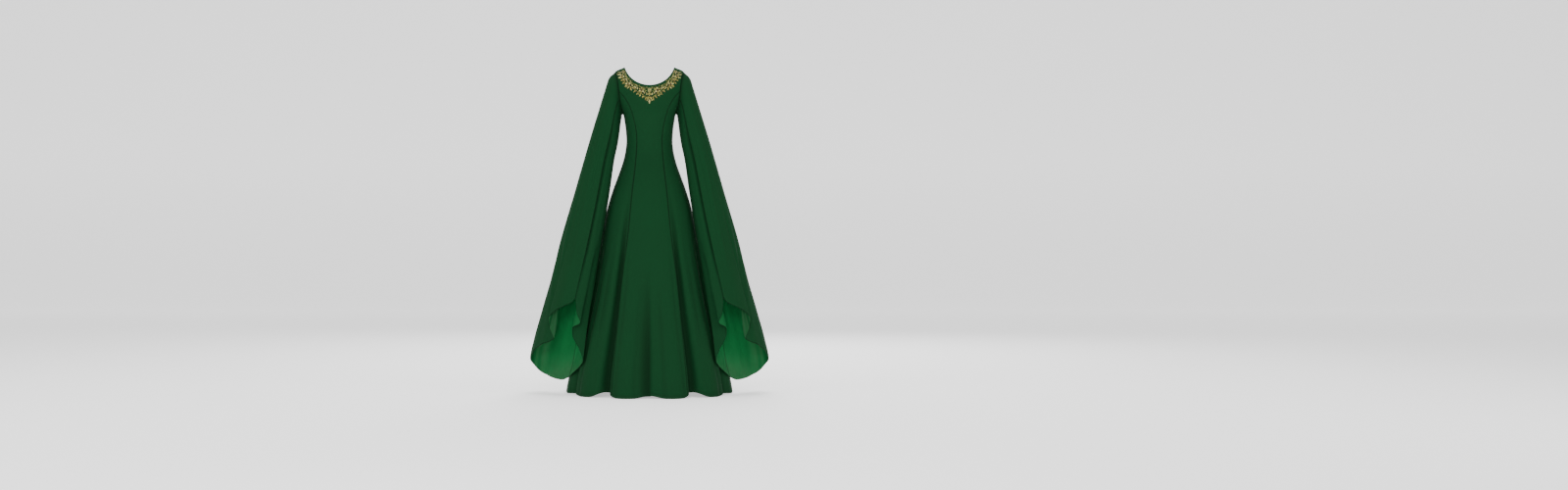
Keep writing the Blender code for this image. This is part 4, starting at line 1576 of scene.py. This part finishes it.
@dataclass
class NeckBand:
    """A band of leaves, flowers and scrolls stitched round the front or back of the neckline.

    Places are millimetres across from the centre line and down from the shoulder point, as the
    band is seen from its own side, and headings are degrees from straight down, outwards.
    """

    form: GownForm
    face: Face
    threads: Sequence[bpy.types.Material]
    lift: float = 0.0003
    sag: float = 8.5
    sag_half: float = 140.0
    # Leaves wider than this are slimmed and get a wider bronze strip under them as a painted shadow round
    # their edge.
    edged: float = 4.4
    slimmer: float = 0.86
    shadow_edging: float = 2.2
    ground_step: float = 7.2
    ground_row: float = 5.2
    across: Tuple[float, ...] = (-1.0, -0.72, -0.36, 0.0, 0.36, 0.72, 1.0)
    strips: List[Strip] = field(default_factory=list)

    def leaf(self, place: Place, heading: float, long: float, wide: float,
             thread: Thread, high: float, bend: float = 0.0) -> None:
        """A pointed leaf with a sunken midrib; a wide leaf also gets a wider bronze strip under it, a painted
        shadow round its edge.

        Args:
            place: Where its stalk is.
            heading: Which way it points.
            long: Its length.
            wide: Its width.
            thread: Its thread.
            high: How high it stands.
            bend: Degrees that it turns along its length.
        """
        share = np.linspace(0.0, 1.0, 9)
        turn = np.radians(heading + bend * (share - 0.3))
        steps = np.stack((np.sin(turn), -np.cos(turn)), axis=-1) * long / 8.0
        line = np.array(place) + np.concatenate(([[0.0, 0.0]], np.cumsum(steps[:-1], axis=0)))
        shape = np.sin(np.pi * share ** 0.85) ** 0.8
        wide = wide * self.slimmer if wide > self.edged else wide
        # A painted shadow: a wider, lower bronze strip round the leaf's edge.
        if wide > self.edged * self.slimmer and thread is not Thread.BRONZE_AND_SHADOW:
            self.strips.append(Strip(line, (shape * wide + self.shadow_edging) / 2.0, 0.45 * shape, Thread.BRONZE_AND_SHADOW))
        self.strips.append(Strip(line, shape * wide / 2.0, high * (0.25 + 0.75 * shape), thread, 0.3))

    def bead(self, place: Place, radius: float, thread: Thread, high: float) -> None:
        """A small round bead.

        Args:
            place: Its centre.
            radius: Its radius.
            thread: Its finish.
            high: How high it stands.
        """
        turn = np.linspace(0.0, np.pi, 7)
        line = np.stack((np.full(7, place[0]), place[1] + radius * np.cos(turn)), axis=-1)
        self.strips.append(Strip(line, radius * np.sin(turn), high * np.sin(turn), thread))

    def stem(self, *places: Place, wide: float, high: float = 0.9) -> None:
        """A corded gold stem through some places.

        Args:
            places: The places, smoothed between.
            wide: Its width.
            high: How high it stands.
        """
        knots = np.array(places, dtype=float)
        count = max(9, int(np.linalg.norm(np.diff(knots, axis=0), axis=-1).sum() / 1.6))
        at = np.linspace(0.0, len(knots) - 1.0, count)
        i = np.clip(at.astype(int), 0, len(knots) - 2)
        t = (at - i)[:, None]
        before, start = knots[np.maximum(i - 1, 0)], knots[i]
        end, after = knots[i + 1], knots[np.minimum(i + 2, len(knots) - 1)]
        line = 0.5 * (2 * start + (end - before) * t + (2 * before - 5 * start + 4 * end - after) * t ** 2
                      + (3 * start - before - 3 * end + after) * t ** 3)
        taper = np.minimum(1.0, np.minimum(np.arange(count), np.arange(count)[::-1]) / 2.0 + 0.2)
        self.strips.append(Strip(line, taper * wide / 2.0, taper * high, Thread.GOLD))

    def curl(self, place: Place, radius: float, start: float, sweep: float) -> None:
        """A thin spiral tendril.

        Args:
            place: Its centre.
            radius: Its outer radius.
            start: Where it starts, in degrees from straight down.
            sweep: How far it turns, in degrees.
        """
        share = np.linspace(0.0, 1.0, 13)
        turn = np.radians(start + sweep * share)
        reach = radius * (1.0 - 0.72 * share)
        line = np.stack((place[0] + reach * np.sin(turn), place[1] - reach * np.cos(turn)), axis=-1)
        taper = 1.0 - 0.45 * share
        self.strips.append(Strip(line, taper * 0.65, taper * 0.75, Thread.PALE))

    def flower(self, place: Place, radius: float, petals: int, start: float) -> None:
        """A flower: petals round a bronze eye with beads.

        Args:
            place: Its centre.
            radius: Its radius.
            petals: How many petals it has.
            start: The first petal's heading.
        """
        for i in range(petals):
            heading = start + 360.0 * i / petals
            turn = math.radians(heading)
            base = (place[0] + 0.24 * radius * math.sin(turn), place[1] - 0.24 * radius * math.cos(turn))
            wide = 2.0 * radius * math.sin(math.pi / petals) * 0.60
            thread = Thread.PALE if i % 2 else Thread.GOLD
            self.leaf(base, heading, radius * 0.80, wide, thread, 1.25, 14.0)
        self.bead(place, radius * 0.47, Thread.BRONZE_AND_SHADOW, 1.6)
        for i in range(6):
            turn = math.radians(60.0 * i + start)
            spot = (place[0] + 0.38 * radius * math.sin(turn), place[1] - 0.38 * radius * math.cos(turn))
            self.bead(spot, 0.6, Thread.PALE, 1.9)
        self.bead(place, 1.1, Thread.GOLD, 2.2)

    def leaves(self, rows: Sequence[Sequence[int]], thread: Thread, high: float, bend: float,
               gold: int = 0) -> None:
        """Leaves from rows of place across, level, heading, length and width.

        Args:
            rows: The leaves.
            thread: Their thread.
            high: How high they stand.
            bend: Degrees that they turn along their length.
            gold: A leaf is gold where its place across is a multiple of this; 0 means none is.
        """
        for x, z, heading, long, wide in rows:
            kind = Thread.GOLD if gold and x % gold == 0 else thread
            self.leaf((x, z), heading, long, wide, kind, high, bend)

    def flowers(self, rows: Sequence[Tuple[Place, float, int, float]], reach: Table, centre: float,
                widest: float, near: float, far: float) -> None:
        """Flowers, and small leaves between them in staggered rows that follow the neckline.

        Args:
            rows: Each flower's place, radius, count of petals and first heading.
            reach: How far from the neck edge the band runs, by degrees from the centre.
            centre: Degrees from the centre where the rows of leaves start.
            widest: Degrees where they end.
            near: Distance of the first row from the neck edge.
            far: A distance that no row reaches.
        """
        for row in rows:
            self.flower(*row)
        depth = NECK_DEPTH[self.face] * MILLIMETRES - self.sag * 0.86
        neck = NECK_X * MILLIMETRES
        radius = neck_radius(depth, neck)
        count = 0
        for r, away in enumerate(np.arange(near, far, self.ground_row)):
            step = self.ground_step / (radius + away)
            for k in range(int((widest - centre) / math.degrees(step)) + 1):
                angle = math.radians(centre) + step * (k + 0.5 * (r % 2))
                degrees = math.degrees(angle)
                out = radius + away
                place = (out * math.sin(angle), radius - depth - out * math.cos(angle))
                seam = -SHOULDER_SLOPE * max(0.0, place[0] - neck)
                count += 1
                if away > reach.read("away", degrees) - 3.0 or place[1] > seam - 7.0 or degrees > widest:
                    continue
                if count % 2 or any(math.dist(place, row[0]) < row[1] * 1.02 for row in rows):
                    continue
                heading = degrees + 137.5 * count
                if count % 6 == 4:
                    self.leaf(place, heading, 6.6, 2.9, Thread.BRONZE_AND_SHADOW, 0.5, 30.0)
                else:
                    thread = Thread.PALE if count % 6 else Thread.GOLD
                    self.leaf(place, heading, 6.4, 2.3, thread, 0.95, 30.0)

    def on_cloth(self, x: Array, z: Array) -> Tuple[Array, Array]:
        """The cloth at some places of the band.

        Args:
            x: Metres across.
            z: Levels.

        Returns:
            Points on the cloth and the directions out of it.
        """
        def at(x: Array, z: Array) -> Array:
            """Points of the cloth.

            Args:
                x: Metres across.
                z: Levels, which stay below the shoulder seam.

            Returns:
                The points.
            """
            seam = np.minimum(0.0, -SHOULDER_SLOPE * (np.abs(x) - NECK_X)) - 0.0012
            z = np.minimum(z, seam)
            found = self.form.falling(self.form.share_at(x, z, self.face), z, self.face)
            found[..., 0] = x
            return found

        step = 0.0008
        across = at(x + step, z) - at(x - step, z)
        up = at(x, z) - at(x, z - step)
        normal = np.cross(across, up)
        normal *= np.where(normal[..., 1:2] * (-1.0 if self.face is Face.FRONT else 1.0) < 0.0, -1.0, 1.0)
        return at(x, z), unit(normal)

    def sew(self, name: str, *signs: float) -> None:
        """Makes the band's mesh.

        Args:
            name: The piece's name.
            signs: 1 for the wearer's left, -1 for the right, or both.
        """
        v = np.array(self.across)
        dome = np.sqrt(1.0 - v ** 2)
        points, faces, threads, maps = [], [], [], []
        start = 0
        for sign in signs:
            for strip in self.strips:
                along = unit(np.gradient(strip.line, axis=0))
                beside = np.stack((-along[:, 1], along[:, 0]), axis=-1)
                flat = strip.line[:, None] + beside[:, None] * (strip.half[:, None] * v)[..., None]
                flat[..., 1] -= self.sag * np.sqrt(np.maximum(0.0, 1.0 - (flat[..., 0] / self.sag_half) ** 2))
                vein = 1.0 - strip.vein * bell(v, 0.22)
                height = strip.rise[:, None] * (dome * vein) / MILLIMETRES + self.lift
                cloth, normal = self.on_cloth(flat[..., 0] * sign / MILLIMETRES, flat[..., 1] / MILLIMETRES)
                points.append((cloth + normal * height[..., None]).reshape(-1, 3))
                rows, columns = len(strip.line), len(v)
                at = start + np.arange(rows * columns).reshape(rows, columns)
                quads = grid_faces(at)
                if (sign > 0) == (self.face is Face.FRONT):
                    quads = quads[:, ::-1]
                faces.append(quads)
                threads += [strip.thread.value] * len(quads)
                run = lengths_along(strip.line[None], 1)[0] / MILLIMETRES
                maps.append(np.stack(np.broadcast_arrays(
                    strip.half[:, None] * v / MILLIMETRES, run[:, None]), axis=-1).reshape(-1, 2))
                start += rows * columns
        made = make_piece(name, np.concatenate(points), np.concatenate(faces), self.threads[0])
        for material in self.threads[1:]:
            made.data.materials.append(material)
        made.data.polygons.foreach_set("material_index", threads)
        lay_map(made.data, np.concatenate(maps))
        log.info("%s: %d motifs", name, len(self.strips) * len(signs))


@dataclass
class FrontBand(NeckBand):
    """The band round the front, which deepens to a pointed drop at the centre."""

    reach: Table = field(default_factory=lambda: Table(
        ("degrees", "away"), (0.0, 74.0), (3.0, 68.0), (9.0, 63.0), (18.0, 52.0), (30.0, 45.0), (43.0, 45.0),
        (52.0, 50.0), (66.0, 46.0)))

    def lay(self) -> None:
        """Lays the motifs of one half, from the centre out."""
        flowers = (
            ((36.5, -105.0), 14.5, 6, 10.0), ((70.0, -93.0), 8.5, 5, 0.0), ((97.0, -78.0), 12.0, 5, 30.0),
            ((125.0, -42.0), 11.5, 5, 60.0), ((113.0, -57.0), 7.5, 5, 20.0), ((119.0, -19.0), 8.0, 5, 0.0))
        self.flowers(flowers, self.reach, centre=3.5, widest=67.0, near=11.0, far=70.0)
        self.stem(
            (0.5, -142.0), (12.0, -139.0), (24.0, -130.0), (37.0, -122.0), (50.0, -115.0), (62.0, -105.0),
            (73.0, -97.0), (84.0, -91.0), (97.0, -90.0), (108.0, -75.0), (114.0, -62.0), (120.0, -52.0),
            (131.0, -44.0), (133.0, -30.0), (129.0, -20.0), wide=1.9)
        self.stem(
            (4.0, -100.0), (14.0, -96.5), (26.0, -92.0), (40.0, -90.0), (52.0, -85.0), (64.0, -80.0),
            (78.0, -71.0), (90.0, -60.0), (100.0, -47.0), (108.0, -32.0), (112.0, -16.0), wide=1.3)
        self.leaves((
            (28, -128, 18, 17, 6.5), (16, -136, 10, 18, 6.5), (7, -141, 6, 15, 5.5),
            (40, -121, 24, 16, 6.0), (52, -114, 28, 15, 5.5), (64, -104, 34, 15, 5.5),
            (84, -90, 8, 18, 6.5), (93, -89, 38, 14, 5.5), (104, -81, 42, 15, 5.5),
            (112, -68, 50, 16, 6.0), (118, -56, 58, 17, 6.0), (129, -47, 64, 15, 5.5),
            (133, -36, 80, 15, 5.5), (133, -26, 96, 12, 5.0)
        ), Thread.PALE, high=1.3, bend=16.0, gold=2)
        self.leaves((
            (14, -128, 184, 13, 4.8), (24, -122, 200, 12, 4.6), (54, -103, 172, 13, 5.0),
            (60, -99, 150, 12, 4.6), (78, -88, 168, 14, 5.2), (88, -70, 188, 13, 4.8),
            (104, -63, 184, 13, 4.8), (110, -47, 196, 13, 5.0), (121, -30, 200, 12, 4.6)
        ), Thread.PALE, high=1.2, bend=-18.0)
        self.leaves((
            (20, -114, 60, 13, 6.0), (48, -95, 100, 12, 5.5), (55, -110, 80, 11, 5.0),
            (82, -81, 110, 12, 5.5), (107, -67, 100, 11, 5.0), (114, -46, 130, 12, 5.5),
            (127, -28, 160, 10, 5.0)
        ), Thread.BRONZE_AND_SHADOW, high=0.9, bend=20.0)
        for x, z, radius, start, sweep in (
            (22, -101, 5.5, 0, 420), (52, -124, 4.5, 90, 400), (60, -88, 5.0, 200, 420),
            (82, -104, 4.0, 60, 380), (86, -72, 4.8, 160, 420), (106, -91, 4.2, 30, 380),
            (104, -46, 4.5, 180, 420), (138, -52, 4.2, 20, 380), (12, -150, 3.6, 300, 400),
            (111, -31, 4.0, 150, 420)
        ):
            self.curl((x, z), radius, start, sweep)

    def lay_centre(self) -> None:
        """Lays the motifs on the centre line: beaded stem, diamond, fan and drop."""
        for i in range(13):
            self.bead((0.0, -95.0 - 3.3 * i), 1.45, Thread.PALE, 1.9)
        for heading, bend in ((42.0, 12.0), (138.0, -12.0), (222.0, 12.0), (318.0, -12.0)):
            self.leaf((0.0, -119.0), heading, 13.0, 4.6, Thread.GOLD, 1.5, bend)
        for z, long in ((-99.0, 7.0), (-105.0, 8.5), (-111.0, 9.0)):
            for sign in (1.0, -1.0):
                self.leaf((sign * 1.0, z), sign * 128.0, long, 3.4, Thread.PALE, 1.2, sign * 20.0)
        for heading, long in ((22.0, 17.0), (48.0, 15.0), (74.0, 12.0)):
            for sign in (1.0, -1.0):
                self.leaf((sign * 1.0, -136.0), sign * heading, long, 5.6, Thread.GOLD, 1.4, sign * 12.0)
        self.leaf((0.0, -147.0), 0.0, 22.0, 8.0, Thread.PALE, 1.7)
        self.bead((0.0, -138.0), 2.6, Thread.BRONZE_AND_SHADOW, 2.1)

    def build(self) -> None:
        """Makes the front band."""
        self.lay()
        self.sew("neck_embroidery_front", 1.0, -1.0)
        self.strips = []
        self.lay_centre()
        self.sew("neck_embroidery_drop", 1.0)


@dataclass
class BackBand(NeckBand):
    """The two bands round the back, which end either side of the centre seam."""

    reach: Table = field(default_factory=lambda: Table(
        ("degrees", "away"), (0.0, 60.0), (9.0, 56.0), (20.0, 50.0), (40.0, 48.0), (66.0, 46.0)))

    def lay(self) -> None:
        """Lays the motifs of one half, from the centre out."""
        flowers = (
            ((31.0, -100.0), 12.0, 5, 0.0), ((57.0, -89.0), 10.5, 5, 30.0),
            ((82.0, -76.0), 11.0, 5, 10.0), ((105.0, -57.0), 10.0, 5, 50.0),
            ((122.0, -34.0), 10.0, 5, 20.0))
        self.flowers(flowers, self.reach, centre=6.6, widest=66.0, near=10.0, far=58.0)
        self.stem(
            (15.0, -92.0), (20.0, -112.0), (33.0, -116.0), (47.0, -108.0), (58.0, -103.0), (70.0, -96.0),
            (82.0, -91.0), (95.0, -80.0), (106.0, -70.0), (117.0, -55.0), (127.0, -46.0), (133.0, -30.0),
            wide=1.8)
        self.leaves((
            (20, -110, 352, 17, 6.0), (28, -115, 15, 14, 5.5), (42, -110, 20, 15, 5.5),
            (56, -103, 26, 15, 5.5), (70, -96, 32, 15, 5.5), (84, -89, 38, 15, 5.5),
            (98, -77, 46, 15, 5.5), (110, -65, 54, 15, 5.5), (122, -50, 64, 15, 5.5),
            (130, -38, 78, 14, 5.0)
        ), Thread.PALE, high=1.3, bend=16.0, gold=4)
        self.leaves((
            (18, -96, 184, 13, 4.8), (42, -96, 180, 13, 4.8), (68, -86, 176, 13, 4.8),
            (92, -68, 180, 13, 4.8), (112, -46, 190, 12, 4.6), (118, -26, 196, 11, 4.2)
        ), Thread.PALE, high=1.2, bend=-18.0)
        self.leaves((
            (24, -88, 90, 12, 5.5), (46, -84, 70, 11, 5.0), (70, -80, 100, 11, 5.0),
            (94, -62, 110, 11, 5.0), (114, -44, 120, 11, 5.0)
        ), Thread.BRONZE_AND_SHADOW, high=0.9, bend=20.0)

    def build(self) -> None:
        """Makes both back bands."""
        self.lay()
        for side in Side:
            self.sew("neck_embroidery_back_" + side.word, float(side.value))


@dataclass
class Topstitch:
    """The row of stitches beside the centre back seam, from the band to the train's hem."""

    form: GownForm
    thread: bpy.types.Material
    away: float = 0.013
    pitch: float = 0.0042
    long: float = 0.0030
    wide: float = 0.0007
    high: float = 0.0004
    top: float = -0.150

    def build(self) -> None:
        """Makes the stitches."""
        down = np.concatenate((np.linspace(self.top, TURN_Z, 900), TURN_Z - np.linspace(0.0, 0.985, 900)[1:]))
        share = self.form.share_at(np.full_like(down, self.away), np.maximum(down, TURN_Z), Face.BACK)
        line = self.form.point(share, down, Face.BACK)
        strip = self.form.point(share[:, None] + np.array((-0.004, 0.0, 0.004)), down[:, None], Face.BACK)
        out = grid_normals(strip, 1.0)[:, 1]
        run = lengths_along(line[None], 1)[0]
        starts = np.arange(0.0, run[-1] - self.pitch, self.pitch)
        along = starts[:, None] + np.array((0.0, 0.18, 0.5, 0.82, 1.0)) * self.long
        spine = np.stack([np.interp(along, run, line[:, i]) for i in range(3)], axis=-1)
        normal = np.stack([np.interp(along, run, out[:, i]) for i in range(3)], axis=-1)
        spine[..., 0] *= -1.0
        normal[..., 0] *= -1.0
        arch = np.array((0.0, 0.8, 1.0, 0.8, 0.0))[None, :, None]
        body = np.array((0.35, 0.9, 1.0, 0.9, 0.35))[None, :, None, None]
        width = np.array((-0.5, 0.0, 0.5))[None, None, :, None] * self.wide * body
        rise = (arch * self.high)[..., None] * np.array((0.4, 1.0, 0.4))[None, None, :, None]
        side = unit(np.cross(normal, np.gradient(spine, axis=1)))
        points = spine[:, :, None] + side[:, :, None] * width + normal[:, :, None] * (rise + 0.0001)
        at = np.arange(points[..., 0].size).reshape(points.shape[:3])
        make_piece("centre_back_topstitch", points.reshape(-1, 3), grid_faces(at), self.thread)
        log.info("centre_back_topstitch: %d stitches", len(starts))


@dataclass(frozen=True)
class SewingThread:
    """Plain sewing thread a little lighter than the cloth."""

    name: str = "sewing_thread"
    colour: Colour = (0.008, 0.075, 0.026)

    def build(self) -> bpy.types.Material:
        """Makes the material's nodes.

        Returns:
            The material.
        """
        book = NodeBook(self.name)
        twist = book.noise(1400.0, 2.0)
        low = tuple(part * 0.6 for part in self.colour)
        book.set(Base_Color=book.blend(twist, low, self.colour), Roughness=0.6, Specular_IOR_Level=0.2)
        book.set(Normal=book.bump(twist, 0.0001, 0.6))
        return book.material


# Square lights: name, place, the level on the gown that it looks at, side and watts
LIGHTS = (
    ("key_light", (-0.7, -6.4, 0.9), -0.8, 1.5, 165.0),
    ("low_light", (-0.3, -9.8, -0.75), -0.9, 1.2, 250.0),
    ("left_light", (-4.6, -2.6, 1.2), -0.8, 2.2, 65.0),
    ("right_light", (4.6, -2.6, 1.2), -0.8, 2.2, 65.0),
    ("top_light", (0.0, 0.6, 3.4), -0.8, 2.6, 130.0),
    ("back_light", (0.6, 4.0, 1.6), -0.8, 2.4, 150.0),
)


@dataclass
class Studio:
    """Pale floor, soft lights and the camera."""

    camera_away: float = 8.0
    camera_level: float = -0.816
    lens: float = 40.0
    shift: float = 0.0858
    floor_colour: Colour = (0.93, 0.93, 0.93)
    floor_glow: float = 0.62
    floor_wide: float = 14.0
    floor_front: float = -12.0
    wall_away: float = 11.5
    wall_high: float = 7.0
    bend: float = 1.6
    bend_steps: int = 16
    world_strength: float = 0.66

    def floor(self) -> None:
        """A pale sheet of floor that curves up behind the gown."""
        book = NodeBook("studio_paper")
        grain = book.noise(240.0, 3.0)
        low = tuple(part * 0.985 for part in self.floor_colour)
        book.set(Base_Color=book.blend(grain, low, self.floor_colour), Roughness=0.9, Specular_IOR_Level=0.1)
        book.set(Emission_Color=(1.0, 1.0, 1.0, 1.0), Emission_Strength=self.floor_glow)
        book.set(Normal=book.bump(grain, 0.0002, 0.2))
        start = self.wall_away - self.bend
        profile = [(self.floor_front, 0.0), (start, 0.0)]
        for i in range(1, self.bend_steps + 1):
            turn = math.pi / 2.0 * i / self.bend_steps
            profile.append((start + self.bend * math.sin(turn), self.bend - self.bend * math.cos(turn)))
        profile.append((self.wall_away, self.wall_high))
        level = HEM_Z - 0.0002
        points = [(x, y, level + z) for y, z in profile for x in (-self.floor_wide, self.floor_wide)]
        faces = [(2 * i, 2 * i + 1, 2 * i + 3, 2 * i + 2) for i in range(len(profile) - 1)]
        make_object("studio_floor", points, faces, book.material)

    @staticmethod
    def light() -> None:
        """Sets up the lights."""
        for name, place, level, size, power in LIGHTS:
            lamp = bpy.data.lights.new(name, "AREA")
            lamp.size = size
            lamp.energy = power
            made = link(name, lamp)
            made.location = place
            aim = Vector((0.0, 0.0, level)) - Vector(place)
            made.rotation_euler = aim.to_track_quat("-Z", "Y").to_euler()

    def look(self) -> None:
        """Sets up the camera in front of the gown."""
        seen = bpy.data.cameras.new("front_camera")
        seen.lens = self.lens
        seen.sensor_width = 36.0
        seen.shift_x = self.shift
        seen.clip_end = 60.0
        camera = link("front_camera", seen)
        camera.location = (0.0, -self.camera_away, self.camera_level)
        camera.rotation_euler = (math.pi / 2.0, 0.0, 0.0)
        bpy.context.scene.camera = camera

    def build(self) -> None:
        """Makes the floor, the lights, the air and the camera."""
        self.floor()
        self.light()
        world = bpy.data.worlds.new("studio_air")
        world.use_nodes = True
        air = world.node_tree.nodes["Background"]
        air.inputs["Color"].default_value = (1.0, 1.0, 1.0, 1.0)
        air.inputs["Strength"].default_value = self.world_strength
        bpy.context.scene.world = world
        self.look()


def main() -> None:
    """Dresses the gown, piece by piece."""
    logging.basicConfig(level=logging.INFO, format="%(message)s")
    Studio().build()
    form = GownForm()
    crepe = CrepeFinish().build()
    BodyPanels(form, crepe).build()
    Sleeves(SleeveForm(form), crepe, LiningFinish().build()).build()
    threads = [
        ThreadFinish("gold_thread", (0.028, 0.024, 0.0030), (0.40, 0.35, 0.075)).build(),
        ThreadFinish("pale_gold_thread", (0.13, 0.12, 0.022), (0.64, 0.61, 0.240)).build(),
        ThreadFinish("bronze_thread_and_leaf_shadow", (0.008, 0.0055, 0.0016), (0.040, 0.022, 0.0050), 0.2, 0.6).build(),
    ]
    FrontBand(form, Face.FRONT, threads).build()
    BackBand(form, Face.BACK, threads).build()
    Topstitch(form, SewingThread().build()).build()


if __name__ == "__main__":
    main()
